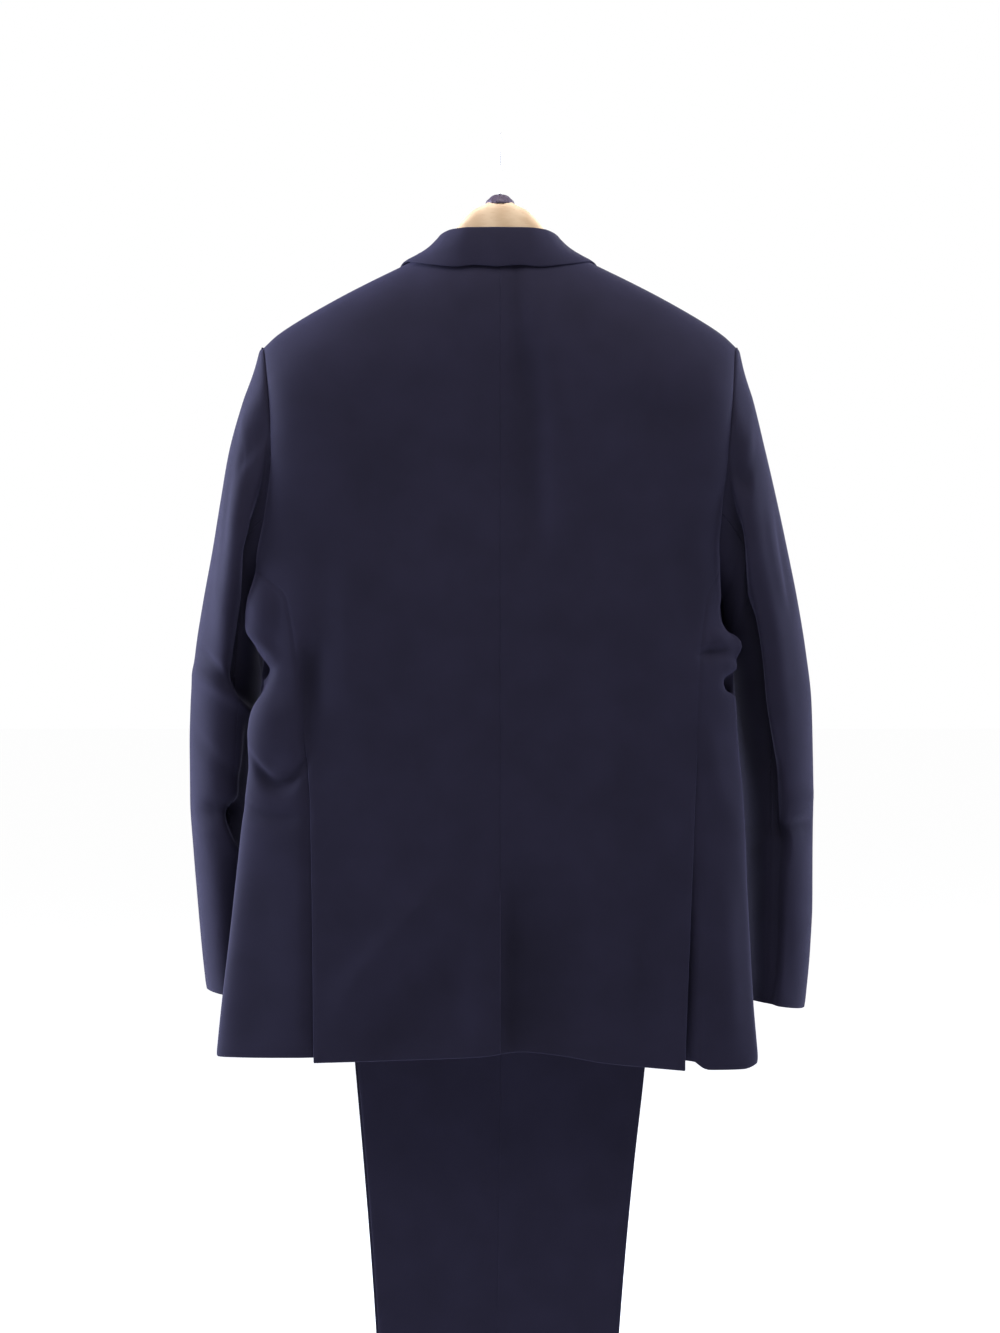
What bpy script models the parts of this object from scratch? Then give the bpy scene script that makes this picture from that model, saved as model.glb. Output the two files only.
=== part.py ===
"""A man's two-piece suit on its wooden hanger: a single-breasted jacket with notched lapels and two
side vents, over trousers that are folded on their creases and held by the clips of the hanger's bar.

The origin is the point inside the top of the hook where a rail bears. +Z is up, +Y is the way the
suit faces and +X is the wearer's right. Sizes are in millimetres here and in metres in Blender.
"""

import math

import bmesh
import bpy
import numpy as np
from mathutils import Vector

MM = 0.001
LEFT, RIGHT = -1, 1
SIDES = (LEFT, RIGHT)
NAMES = {LEFT: "left", RIGHT: "right"}

# ---------------------------------------------------------------- driving dimensions
CLOTH = 1.5  # the suit's cloth with what backs it
COLLAR_CLOTH = 1.7
TROUSER_CLOTH = 1.2
SEAM = 0.4  # from a panel's edge to its seam line
LAID_ON = 0.4  # between a panel and what is sewn on it
EASED = 0.6  # more than that where the piece lies over a curve
ON_CLOTH = LAID_ON + CLOTH + EASED  # from a panel's face out to the face of a piece that lies on it
SLEEVE_SEAM = 1.1  # the same as SEAM, on the tighter curve of a sleeve

SHOULDER_TIP = -201.0  # height of the shoulder points
SHOULDER_DROP = 95.0  # height over which the cloth turns from the shoulder line to the straight back
SLOPE_DROP = 320.0  # height over which the shoulder's slope fades out of the levels
HEM = -868.0
HEM_REACH = 150.0  # the height over which the hem's rises and drops fade out above it
BREAK_POINT = -508.0  # where the lapel's roll line meets the front edge
UNDERLAP = {"width": 34.0, "columns": 3, "shut_step": 2.6, "past_edge": 9.0, "gap": 0.8}
LAP_INSET = 5.4  # how far the right front lies behind the left one where they button
ARMHOLE = {"y": 2.0, "level": -318.0, "half_depth": 47.0, "half_height": 116.0}
ARMHOLE_GAP = 1.4  # from the body's armhole edge out to the sleeve's edge
UNDER_SLEEVE = math.radians(65)  # half of the under sleeve's share of the girth

WAIST_TOP = -223.0
WAISTBAND_HEIGHT = 38.0
WAISTBAND_Y = 3.2  # from the middle to the waistband's outer face
WAISTBAND_CLOTH = 2.0
CROTCH = -505.0
RISE_END = -430.0  # where the rise seam runs into the folded edge
TROUSER_HEM = -1225.0
LEG_PLANE = 5.0  # from the middle out to the plane of one folded leg
LEG_HALF = 2.9  # half the thickness of a folded leg
FAR_LEG_SLIP = 3.0  # how far the far leg's front crease hangs past the near one's

FERRULE = {"radius": 13.7, "bottom": -64.6, "top": -54.8}
HOOK = {"wire": 1.9, "bend": 20.0, "start": -58, "end": 205, "neck": [(0, 0.4, -49), (0, 3.2, -44.2)]}
ARM_HALF_THICKNESS = 10.0
BAR = {"z": -207.0, "radius": 2.2, "half_width": 166.0, "corner": 11.0, "seat_gap": 1.7}
CLIP = {"x": 118.0, "half_width": 14.0, "jaw": 3.1, "bottom": -252.0, "grip_gap": 0.5, "bar_gap": 0.4}
CLIP_HEAD = {"half_depth": 5.2, "crown": 3.0, "top": 5.4, "shoulder": 3.0, "waist": 5.0, "jaw_top": 10.0}

MATERIALS = {  # colour, roughness, metallic
    "suit_cloth": ((0.020, 0.018, 0.036), 0.85, 0.0),
    "button_horn": ((0.010, 0.009, 0.014), 0.35, 0.0),
    "hanger_wood": ((0.72, 0.52, 0.34), 0.45, 0.0),
    "collar_black": ((0.030, 0.022, 0.032), 0.5, 0.0),
    "bright_steel": ((0.78, 0.78, 0.79), 0.18, 1.0),
}


# ---------------------------------------------------------------- tables and curves
class Table:
    """Rows of named columns. at() reads a column smoothly between rows, by the first column."""

    def __init__(self, columns, *rows):
        self.names = columns.split()
        self.cells = np.array(sorted(rows), float)

    def at(self, name, place):
        return smooth_through(self.cells[:, 0], self.cells[:, self.names.index(name)], place)


def smooth_through(knots, values, place):
    """A monotone cubic through the knots, which never overshoots them and is held at both ends."""
    place = np.clip(np.asarray(place, float), knots[0], knots[-1])
    width = np.diff(knots)
    slope = np.diff(values) / width
    together = slope[1:] * slope[:-1] > 0
    total = np.where(together, slope[1:] + slope[:-1], 1)
    inner = np.where(together, 2 * slope[1:] * slope[:-1] / total, 0)
    tangent = np.concatenate([slope[:1], inner, slope[-1:]])
    i = np.clip(np.searchsorted(knots, place) - 1, 0, len(width) - 1)
    t = (place - knots[i]) / width[i]
    start, end = values[i], values[i + 1]
    leave, arrive = tangent[i] * width[i], tangent[i + 1] * width[i]
    return (
        start * (1 + 2 * t) * (1 - t) ** 2
        + leave * t * (1 - t) ** 2
        + end * t * t * (3 - 2 * t)
        - arrive * t * t * (1 - t)
    )


def ease(low, high, value):
    """0 up to low, 1 from high, and an even S between them."""
    t = np.clip((value - low) / (high - low), 0, 1)
    return t * t * (3 - 2 * t)


def lerp(start, end, share):
    return start + (end - start) * share


def stack(x, y, z):
    return np.stack(np.broadcast_arrays(x, y, z), axis=-1).astype(float)


# ---------------------------------------------------------------- the jacket's body
# A level is a height at the side of the body. left and right are the half widths there, back and
# front the depths behind and in front of the side line at side_y, and square how boxy the ring is.
BODY = Table(
    "level left right back front side_y square",
    (-201, 226, 225, 66, 60, 2, 6.0),
    (-250, 221, 222, 68, 60, 2, 6.0),
    (-287, 219, 220, 68, 60, 2, 6.0),
    (-325, 220, 217, 67, 61, 1, 6.0),
    (-362, 224, 211, 64, 62, -1, 6.0),
    (-400, 227, 207, 60, 63, -5, 5.5),
    (-434, 227, 208, 57, 65, -9, 5.0),
    (-465, 227, 211, 54, 67, -13, 4.4),
    (-497, 226, 220, 51, 69, -16, 4.0),
    (-532, 228, 222, 47, 72, -20, 3.5),
    (-569, 233, 224, 43, 75, -23, 3.1),
    (-626, 240, 229, 40, 79, -26, 2.8),
    (-720, 250, 234, 39, 84, -27, 2.6),
    (-815, 260.5, 239, 40, 88, -27, 2.5),
    (-868, 266.5, 243, 42, 90, -27, 2.5),
)
# The shoulder line out from the middle of the neck. Inside the neck it only shapes the cloth below.
SHOULDER = Table(
    "x height",
    (0, -87),
    (20, -89),
    (40, -96),
    (60, -105.5),
    (80, -116.5),
    (98, -125.5),
    (120, -136.2),
    (153, -153.2),
    (194, -176.8),
    (212, -189),
    (225, -201),
)
BACK_NECK = Table("x height", (0, -118), (40, -118), (65, -117.4), (80, -116.5))
SIDE_BACK_SEAM = {
    LEFT: Table("level x", (-446, 199), (-478, 193), (-560, 184), (-629, 177), (-868, 173.4)),
    RIGHT: Table("level x", (-446, 194), (-478, 189), (-560, 184.5), (-629, 182), (-868, 172.5)),
}
SIDE_FRONT_SEAM = Table("level x", (-470, 208), (-540, 203), (-640, 204), (-868, 218))
VENT_TOP = {LEFT: -629.0, RIGHT: -650.0}
VENT_GAPE = {LEFT: 2.2, RIGHT: 15.0}  # how far the underlap stands behind the back at the hem
# The roll line and the front edge, out from the centre line towards the front's own side.
ROLL_LINE = Table("z out", (-508, -20), (-180, 66), (-116, 79))
FRONT_EDGE = Table(
    "level out",
    (-508, -20),
    (-640, -20),
    (-700, -17),
    (-750, -8),
    (-800, 13),
    (-838, 44),
    (-860, 78),
    (-868, 108),
)
BACK_HEM = Table("x lift", (-173, -4), (-90, -0.8), (-18, 2.5), (20, 7), (57, 3.4), (94, -3.1), (173, -11.5))
# How far the side and front panels' hem lies above the plain one, by the way round from centre back.
SIDE_HEM = {
    LEFT: Table("round lift", (170, 1), (283, -1.6), (350, -4), (590, -9)),
    RIGHT: Table("round lift", (170, -0.7), (192, -11), (231, -11.5), (262, -7), (340, -8), (560, -11)),
}
SIDE_HEM_SPAN = 175, 330  # the side panel's hem, by the way round
FRONT_HEM_SPAN = 360, 560
# The largest folds: the way round and level of the middle, the reach both ways, and the height.
FOLDS = {
    LEFT: ((238, -455, 34, 46, 10), (252, -500, 26, 15, -10), (232, -560, 30, 50, 7)),
    RIGHT: ((238, -486, 34, 12, 9), (232, -516, 22, 12, -8)),
}


def half_width(side, level):
    return BODY.at(NAMES[side], level)


def shoulder_turn(level):
    """0 on the shoulder line and 1 where the back and front hang straight."""
    t = np.clip((SHOULDER_TIP - level) / SHOULDER_DROP, 0, 1)
    return np.sqrt(t * (2 - t))


def height(x, level):
    """The real height at x of a level, which slopes with the shoulder and flattens below it."""
    t = np.clip((SHOULDER_TIP - level) / SLOPE_DROP, 0, 1)
    above_tip = SHOULDER.at("height", np.abs(x)) - SHOULDER_TIP
    return level + above_tip * (1 - t) ** 2 * (1 + 2 * t)


def level_at(x, z):
    """The level that has the height z at x."""
    level = np.asarray(z, float) + 0 * x
    for _ in range(12):
        level = level + (z - height(x, level)) * 0.8
    return np.minimum(level, SHOULDER_TIP - 1e-4)


def depth(level, front):
    return BODY.at("front" if front else "back", level) * shoulder_turn(level)


def turn_at_x(side, level, x, front=False):
    """The way round the ring, from 0 at centre back to 2 at centre front, where it is x wide."""
    share = np.clip(x / half_width(side, level), 0, 1)
    quarter = np.arcsin(share ** (BODY.at("square", level) / 2)) / (math.pi / 2)
    return 2 - quarter if front else quarter


def turn_at_y(side, level, y):
    """The way round the ring where it is as deep as y."""
    from_side = y - BODY.at("side_y", level)
    reach = np.where(from_side > 0, depth(level, True), depth(level, False))
    share = np.clip(np.abs(from_side) / np.maximum(reach, 1e-6), 0, 1)
    quarter = np.arccos(share ** (BODY.at("square", level) / 2)) / (math.pi / 2)
    return np.where(from_side > 0, 2 - quarter, quarter)


def ring_xy(side, level, turn):
    """Where the ring is at that way round. Past 2 it runs straight on over the centre line."""
    angle = np.clip(turn, 0, 2) * math.pi / 2
    power = 2 / BODY.at("square", level)
    wide = half_width(side, level) * np.abs(np.sin(angle)) ** power
    deep = np.abs(np.cos(angle)) ** power
    reach = np.where(turn > 1, depth(level, True), -depth(level, False))
    return wide, BODY.at("side_y", level) + reach * deep


RING_STEPS = 240


def round_at_turn(side, level, turn):
    """Millimetres of cloth from centre back to that way round the ring."""
    turn = np.asarray(turn, float)[..., None] * np.linspace(0, 1, RING_STEPS)
    wide, deep = ring_xy(side, np.asarray(level, float)[..., None], turn)
    return np.hypot(np.diff(wide), np.diff(deep)).sum(-1)


def pick(values, index):
    return np.take_along_axis(values, index[..., None], -1)[..., 0]


def on_body(side, level, round_mm):
    """The cloth's outer face at so many millimetres round from centre back."""
    level, round_mm = np.broadcast_arrays(np.asarray(level, float), np.asarray(round_mm, float))
    wide, deep = ring_xy(side, level[..., None], np.linspace(0, 2, RING_STEPS))
    step = np.hypot(np.diff(wide), np.diff(deep))
    ends = np.concatenate([np.zeros_like(step[..., :1]), np.cumsum(step, -1)], -1)
    past = np.maximum(round_mm - ends[..., -1], 0)
    i = np.clip((ends <= round_mm[..., None]).sum(-1) - 1, 0, RING_STEPS - 2)
    share = np.clip((round_mm - pick(ends, i)) / np.maximum(pick(step, i), 1e-9), 0, 1)
    x = lerp(pick(wide, i), pick(wide, i + 1), share) - past
    y = lerp(pick(deep, i), pick(deep, i + 1), share)
    return stack(side * x, y, height(x, level))


NEAR = 1.5  # the step over which the cloth's facing is measured


def facing(side, level, round_mm):
    """The direction out of the cloth."""
    low, high = np.minimum(level, SHOULDER_TIP - 2 * NEAR) - NEAR, np.minimum(level + NEAR, SHOULDER_TIP)
    up = on_body(side, high, round_mm) - on_body(side, low, round_mm)
    along = on_body(side, level, round_mm + NEAR) - on_body(side, level, np.maximum(round_mm - NEAR, 0))
    out = side * np.cross(along, up)
    return out / np.maximum(np.linalg.norm(out, axis=-1, keepdims=True), 1e-9)


def body_point(side, level, round_mm, out=0.0):
    """The cloth's outer face with its folds, moved out by out."""
    level, round_mm = np.broadcast_arrays(np.asarray(level, float), np.asarray(round_mm, float))
    push = out + fold_height(side, level, round_mm)
    base = on_body(side, level, round_mm)
    if not np.any(push):
        return base
    return base + facing(side, level, round_mm) * np.asarray(push)[..., None]


def fold_height(side, level, round_mm):
    """How far the largest folds stand out of the body there."""
    total = 0.0
    for middle, at_level, half_round, half_level, tall in FOLDS[side]:
        away = ((round_mm - middle) / half_round) ** 2 + ((level - at_level) / half_level) ** 2
        total = total + tall * np.clip(1 - away, 0, 1) ** 2
    return total


def round_at_x(side, level, x, front=False):
    """The way round in millimetres at x, on the back or the front, also past the centre line."""
    inside = np.maximum(x, 0)
    return round_at_turn(side, level, turn_at_x(side, level, inside, front)) + np.maximum(-x, 0)


def on_front(side, out_x, z, out):
    """The point on the front at that distance out from the centre line and that height."""
    level = level_at(out_x, z)
    return body_point(side, level, round_at_x(side, level, out_x, True), out)


# ---------------------------------------------------------------- seams
def armhole(side, angle):
    """The level and way round of the armhole's edge: 0 at the shoulder, pi / 2 at its front."""
    level = np.minimum(ARMHOLE["level"] + ARMHOLE["half_height"] * np.cos(angle), SHOULDER_TIP - 1e-4)
    y = ARMHOLE["y"] + ARMHOLE["half_depth"] * np.sin(angle)
    return level, round_at_turn(side, level, turn_at_y(side, level, y))


def armhole_round(side, level, front):
    """The way round of the armhole's edge at a level, behind or in front."""
    share = np.clip((level - ARMHOLE["level"]) / ARMHOLE["half_height"], -1, 1)
    reach = ARMHOLE["half_depth"] * np.sqrt(1 - share * share)
    y = ARMHOLE["y"] + (reach if front else -reach)
    return round_at_turn(side, level, turn_at_y(side, level, y))


ROWS = 20  # of the back and the front; the side panel shares those from CORNER_ROW down
TURN_ROWS = 6
CORNER_ROW = 9
TURN_END = math.radians(75)
EVEN_FROM = SHOULDER_TIP - SHOULDER_DROP * (1 - math.cos(TURN_END))
CORNER_LEVEL = EVEN_FROM + (HEM - EVEN_FROM) * (CORNER_ROW - TURN_ROWS) / (ROWS - TURN_ROWS)
CORNER_ANGLE = math.acos((CORNER_LEVEL - ARMHOLE["level"]) / ARMHOLE["half_height"])
BACK_CORNER, FRONT_CORNER = 2 * math.pi - CORNER_ANGLE, CORNER_ANGLE


def seam_round(side, level, front):
    """The way round of the side-back or side-front seam, and of the armhole's edge above it."""
    corner_level, corner_round = armhole(side, FRONT_CORNER if front else BACK_CORNER)
    table = SIDE_FRONT_SEAM if front else SIDE_BACK_SEAM[side]
    below = round_at_x(side, level, table.at("x", level), front)
    first = table.cells[-1, 0]
    share = ease(0, 1, (corner_level - level) / (corner_level - first))
    seam = lerp(corner_round, below, share)
    return np.where(level > corner_level, armhole_round(side, level, front), seam)


# ---------------------------------------------------------------- making objects
def reset_scene():
    for item in list(bpy.data.objects):
        bpy.data.objects.remove(item, do_unlink=True)
    suit = bpy.data.collections.new("suit_on_hanger")
    bpy.context.scene.collection.children.link(suit)
    return suit


def make_materials():
    made = {}
    for name, (colour, roughness, metallic) in MATERIALS.items():
        material = bpy.data.materials.new(name)
        material.use_nodes = True
        shader = material.node_tree.nodes["Principled BSDF"]
        shader.inputs["Base Color"].default_value = (*colour, 1)
        shader.inputs["Roughness"].default_value = roughness
        shader.inputs["Metallic"].default_value = metallic
        made[name] = material
    return made


SUIT = reset_scene()
MADE = make_materials()


def add(name, data, material):
    thing = bpy.data.objects.new(name, data)
    data.materials.append(MADE[material])
    SUIT.objects.link(thing)
    return thing


def grid(columns, rows, place):
    """A grid whose points are place(u, v): u runs 0 to 1 across it and v 0 to 1 down it."""
    bm = bmesh.new()
    bmesh.ops.create_grid(bm, x_segments=columns, y_segments=rows, size=0.5)
    flat = np.array([vertex.co[:2] for vertex in bm.verts])
    for vertex, point in zip(bm.verts, place(flat[:, 0] + 0.5, 0.5 - flat[:, 1])):
        vertex.co = Vector(point) * MM
    return bm


def finish(bm, name, material):
    mesh = bpy.data.meshes.new(name)
    bm.normal_update()
    bm.to_mesh(mesh)
    bm.free()
    mesh.shade_smooth()
    return add(name, mesh, material)


def panel(name, columns, rows, place, wall=CLOTH, flip=False, material="suit_cloth", even=True):
    """A cut piece of cloth: its outer face is place(u, v), and its wall goes inwards from there."""
    bm = grid(columns, rows, place)
    if flip:
        bmesh.ops.reverse_faces(bm, faces=bm.faces[:])
    piece = finish(bm, name, material)
    solidify = piece.modifiers.new("wall", "SOLIDIFY")
    solidify.thickness = wall * MM
    solidify.offset = -1
    solidify.use_even_offset = even
    solidify.use_quality_normals = True
    return piece


def turned(name, profile, steps, material):
    """A turned solid about Z, from (radius, height) pairs that run down its outer side."""
    mesh = bpy.data.meshes.new(name)
    points = [(radius * MM, 0, z * MM) for radius, z in profile]
    mesh.from_pydata(points, [(i, i + 1) for i in range(len(points) - 1)], [])
    piece = add(name, mesh, material)
    screw = piece.modifiers.new("turn", "SCREW")
    screw.steps = screw.render_steps = steps
    screw.use_merge_vertices = True
    screw.merge_threshold = 0.00001
    return piece


def wire(name, route, radius, material, resolution=2):
    """A bent wire with filled caps along the points of a route."""
    curve = bpy.data.curves.new(name, "CURVE")
    curve.dimensions = "3D"
    curve.bevel_depth = radius * MM
    curve.bevel_resolution = resolution
    curve.use_fill_caps = True
    spline = curve.splines.new("POLY")
    spline.points.add(len(route) - 1)
    for point, place in zip(spline.points, route):
        point.co = (*(np.array(place) * MM), 1)
    return add(name, curve, material)


# ---------------------------------------------------------------- the jacket's panels
def hang(first_drop, bottom, v):
    """Levels down a panel that starts first_drop under the shoulder line. They are bunched where
    the cloth turns over the shoulder, and even from there to the bottom."""
    share = TURN_ROWS / ROWS
    start = np.arccos(1 - first_drop / SHOULDER_DROP)
    turn = lerp(start, TURN_END, np.clip(v / share, 0, 1))
    turned_level = SHOULDER_TIP - SHOULDER_DROP * (1 - np.cos(turn))
    even = lerp(EVEN_FROM, bottom, np.clip((v - share) / (1 - share), 0, 1))
    return np.where(v < share - 1e-6, turned_level, even)


def hem_lifted(level, lift):
    """The level with the hem's own rise or drop worked in over the cloth just above it."""
    return level + lift * ease(HEM + HEM_REACH, HEM, level)


SEAM_DROP = SHOULDER_DROP * (1 - math.cos(2 * SEAM / 60.0))  # puts a top edge just off the ridge


def back_panel(side):
    def place(u, v):
        u = 1 - (1 - u) ** 1.5
        neck_x = u * half_width(side, SHOULDER_TIP)
        neck_drop = SHOULDER.at("height", neck_x) - BACK_NECK.at("height", neck_x)
        first = np.where(neck_x < BACK_NECK.cells[-1, 0], np.maximum(neck_drop, SEAM_DROP), SEAM_DROP)
        level = hem_lifted(hang(first, HEM, v), BACK_HEM.at("lift", side * u * 173))
        return body_point(side, level, lerp(SEAM, seam_round(side, level, False) - SEAM, u))

    panel(f"back_{NAMES[side]}", 9, ROWS, place, flip=side == LEFT)


def side_panel(side):
    """A side body. Its first columns are the underlap: a strip that is drawn together above the vent
    and stands out behind the back's edge below it."""
    corners = BACK_CORNER, FRONT_CORNER
    laps = UNDERLAP["columns"]
    columns = laps + 5
    vent_top = VENT_TOP[side]

    def lap_edge(column, start, level):
        share = np.minimum(column, laps) / laps
        shut = start + SEAM + laps * UNDERLAP["shut_step"] * share
        spread = start + lerp(-UNDERLAP["width"], UNDERLAP["past_edge"] - 2, share)
        return lerp(shut, spread, ease(vent_top + 12, vent_top - 12, level))

    def place(u, v):
        column = u * columns
        across = np.clip((column - laps) / (columns - laps), 0, 1)
        top_level, top_round = armhole(side, lerp(*corners, across))
        back_round, front_round = (seam_round(side, top_level, front) for front in (False, True))
        top_across = (top_round - back_round) / np.maximum(front_round - back_round, 1)
        hem_round = lerp(*SIDE_HEM_SPAN, across)
        level = hem_lifted(lerp(top_level, HEM, v), SIDE_HEM[side].at("lift", hem_round))
        share = lerp(np.clip(top_across, 0, 1), across, ease(0, 0.35, v))
        start, end = seam_round(side, level, False), seam_round(side, level, True) - SEAM
        body = lerp(start + UNDERLAP["past_edge"], end, share)
        round_mm = np.where(column < laps - 0.01, lap_edge(column, start, level), body)
        below = ease(vent_top + 80, vent_top + 38, level)
        tucked = below * (1 - ease(1, UNDERLAP["past_edge"] + 3, round_mm - start))
        gape = CLOTH + lerp(UNDERLAP["gap"], VENT_GAPE[side], ease(vent_top, HEM, level))
        return body_point(side, level, round_mm, -tucked * gape)

    panel(f"side_{NAMES[side]}", columns, ROWS - CORNER_ROW, place, flip=side == LEFT)


def front_edge_out(level, out_guess=30.0):
    """How far out from the centre line the front panel's inner edge is at a level."""
    out = out_guess
    for _ in range(4):
        out = ROLL_LINE.at("out", height(np.maximum(out, 0), level))
    return np.where(level > BREAK_POINT, out, FRONT_EDGE.at("out", level))


def lap_inset(side, out_x):
    """The right front lies behind the left one where they overlap."""
    return 0 if side == LEFT else LAP_INSET * (1 - ease(22, 110, out_x))


def front_panel(side):
    def place(u, v):
        u = u**1.4
        level = hem_lifted(hang(SEAM_DROP, HEM, v), SIDE_HEM[side].at("lift", lerp(*FRONT_HEM_SPAN, u)))
        inner = round_at_x(side, level, front_edge_out(level), True)
        seam = seam_round(side, level, True) + 2 * SEAM
        round_mm = lerp(seam, inner, u)
        out_x = side * body_point(side, level, round_mm)[..., 0]
        return body_point(side, level, round_mm, -lap_inset(side, out_x))

    panel(f"front_{NAMES[side]}", 9, ROWS, place, flip=side == LEFT)


# ---------------------------------------------------------------- lapels, collar and pockets
# Each lapel by the way up from the break point: its width, and how far its edge lies above its fold.
LAPEL = Table(
    "up width rise",
    (0, 4, 0),
    (0.084, 26, 4),
    (0.235, 50, 8),
    (0.506, 67, 10),
    (0.777, 72, 4),
    (1, 64, -16),
)
LAPEL_TOP = -178.5  # where the gorge seam meets the roll line
GORGE = {"across": 0.34, "dip": 6.5}  # the notch's corner, and how far it lies below a straight top
LAPEL_ROLL = 3.0  # how far the folded edge stands off the front


def lapel(side):
    def place(u, v):
        up = 1 - v
        z = lerp(BREAK_POINT + 6, LAPEL_TOP, up)
        fold = ROLL_LINE.at("out", z) + 0.3
        out_x = fold + LAPEL.at("width", up) * u
        dip = GORGE["dip"] * np.interp(u, (0, GORGE["across"], 1), (0, 1, 0)) * ease(0.85, 1, up)
        high = z + LAPEL.at("rise", up) * u - dip
        lift = ON_CLOTH + LAPEL_ROLL * ease(0.25, 0.8, up) * (1 - u) ** 2
        return on_front(side, out_x, high, lift - lap_inset(side, out_x))

    panel(f"lapel_{NAMES[side]}", 4, 9, place, flip=side == RIGHT)


# The collar from centre back round to the notch, as x, y and height: the stand's lower edge, the
# fold and the middle of the fall. The fall's edge lies on the jacket: its x and its degrees over
# the shoulder line, behind it where they are less than 0.
COLLAR_SHIFT = -2.6  # the whole collar sits a little to the wearer's left
COLLAR_FOLD = 3.3  # half the thickness of the collar where it folds over
COLLAR = Table(
    "way base_x base_y base_z fold_x fold_y fold_z mid_x mid_y mid_z edge_x edge_turn",
    (0.00, 0, -44.8, -117.2, 0, -44.0, -91.6, 0, -54.5, -109, 0, -53.2),
    (0.15, 31, -41.2, -117.2, 26, -42.0, -91.6, 31, -51.5, -109, 34, -48.2),
    (0.30, 57, -28.6, -116.6, 41, -32.0, -92.0, 54, -38.5, -109, 64, -34.0),
    (0.42, 70.5, -14.0, -114.6, 50, -16.0, -94.0, 65, -20.0, -108, 82, -17.5),
    (0.54, 75.5, 2.0, -112.6, 55, 3.0, -97.0, 73, 3.0, -108.6, 91, 0.5),
    (0.66, 74.5, 17.0, -116.5, 60, 20.0, -103.5, 80, 25.5, -115.5, 98, 20.0),
    (0.82, 70.6, 42.0, -143.0, 64, 48.0, -133.0, 84, 50.0, -146, 106, 39.5),
    (1.00, 64.4, 56.0, -176.0, 63, 63.5, -172.0, 88, 63.0, -187, 111, 52.4),
)


def over_shoulder(x, turn, out):
    """The point so many radians over the shoulder line at x, moved out."""
    across = np.where(turn > 0, BODY.at("front", SHOULDER_TIP), BODY.at("back", SHOULDER_TIP))
    y = ARMHOLE["y"] + across * np.sin(turn)
    z = SHOULDER.at("height", x) - SHOULDER_DROP * (1 - np.cos(turn))
    normal = stack(0, SHOULDER_DROP * np.sin(turn), across * np.cos(turn))
    normal /= np.linalg.norm(normal, axis=-1, keepdims=True)
    return stack(x, y, z) + out * normal


def collar():
    def place(u, v):
        side = np.where(u < 0.5, LEFT, RIGHT)
        way = np.abs(2 * u - 1)

        def spot(name):
            return stack(*(COLLAR.at(f"{name}_{axis}", way) for axis in "xyz"))

        base, fold, mid = spot("base"), spot("fold"), spot("mid")
        lift = LAID_ON + COLLAR_CLOTH + 2 * EASED
        edge = over_shoulder(COLLAR.at("edge_x", way), np.radians(COLLAR.at("edge_turn", way)), lift)
        away = edge - base
        away[..., 2] = 0
        away /= np.maximum(np.linalg.norm(away, axis=-1, keepdims=True), 1e-6)
        down = np.array([0, 0, -COLLAR_FOLD])
        over = COLLAR_FOLD * away
        lines = np.array([base, fold + down, fold + over, fold + 2 * over + down, mid, edge])
        row = v * (len(lines) - 1)
        first = np.clip(row.astype(int), 0, len(lines) - 2)
        index = np.arange(len(u))
        point = lerp(lines[first, index], lines[first + 1, index], (row - first)[..., None])
        point[..., 0] = side * point[..., 0] + COLLAR_SHIFT * (1 - way)
        return point

    panel("collar", 22, 5, place, wall=COLLAR_CLOTH)


POCKET = {"level": -640.0, "slant": 8.0, "near": 66.0, "length": 132.0, "height": 52.0}
WELT = {"near": 102.0, "length": 88.0, "z": -322.0, "slant": 10.0, "height": 22.0}


def pocket_flap(side):
    def place(u, v):
        top = POCKET["level"] - POCKET["slant"] * (1 - u)
        corner = 7 * (np.abs(2 * u - 1) ** 6) * v
        level = top - (POCKET["height"] - corner) * v
        near = round_at_x(side, level, POCKET["near"], True)
        return body_point(side, level, near - POCKET["length"] * (1 - u), ON_CLOTH)

    panel(f"pocket_flap_{NAMES[side]}", 6, 2, place, flip=side == LEFT)


def breast_welt():
    def place(u, v):
        z = WELT["z"] + WELT["slant"] * (1 - u) - WELT["height"] * v
        return on_front(LEFT, WELT["near"] + WELT["length"] * u, z, ON_CLOTH)

    panel("breast_welt", 4, 1, place)


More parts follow.
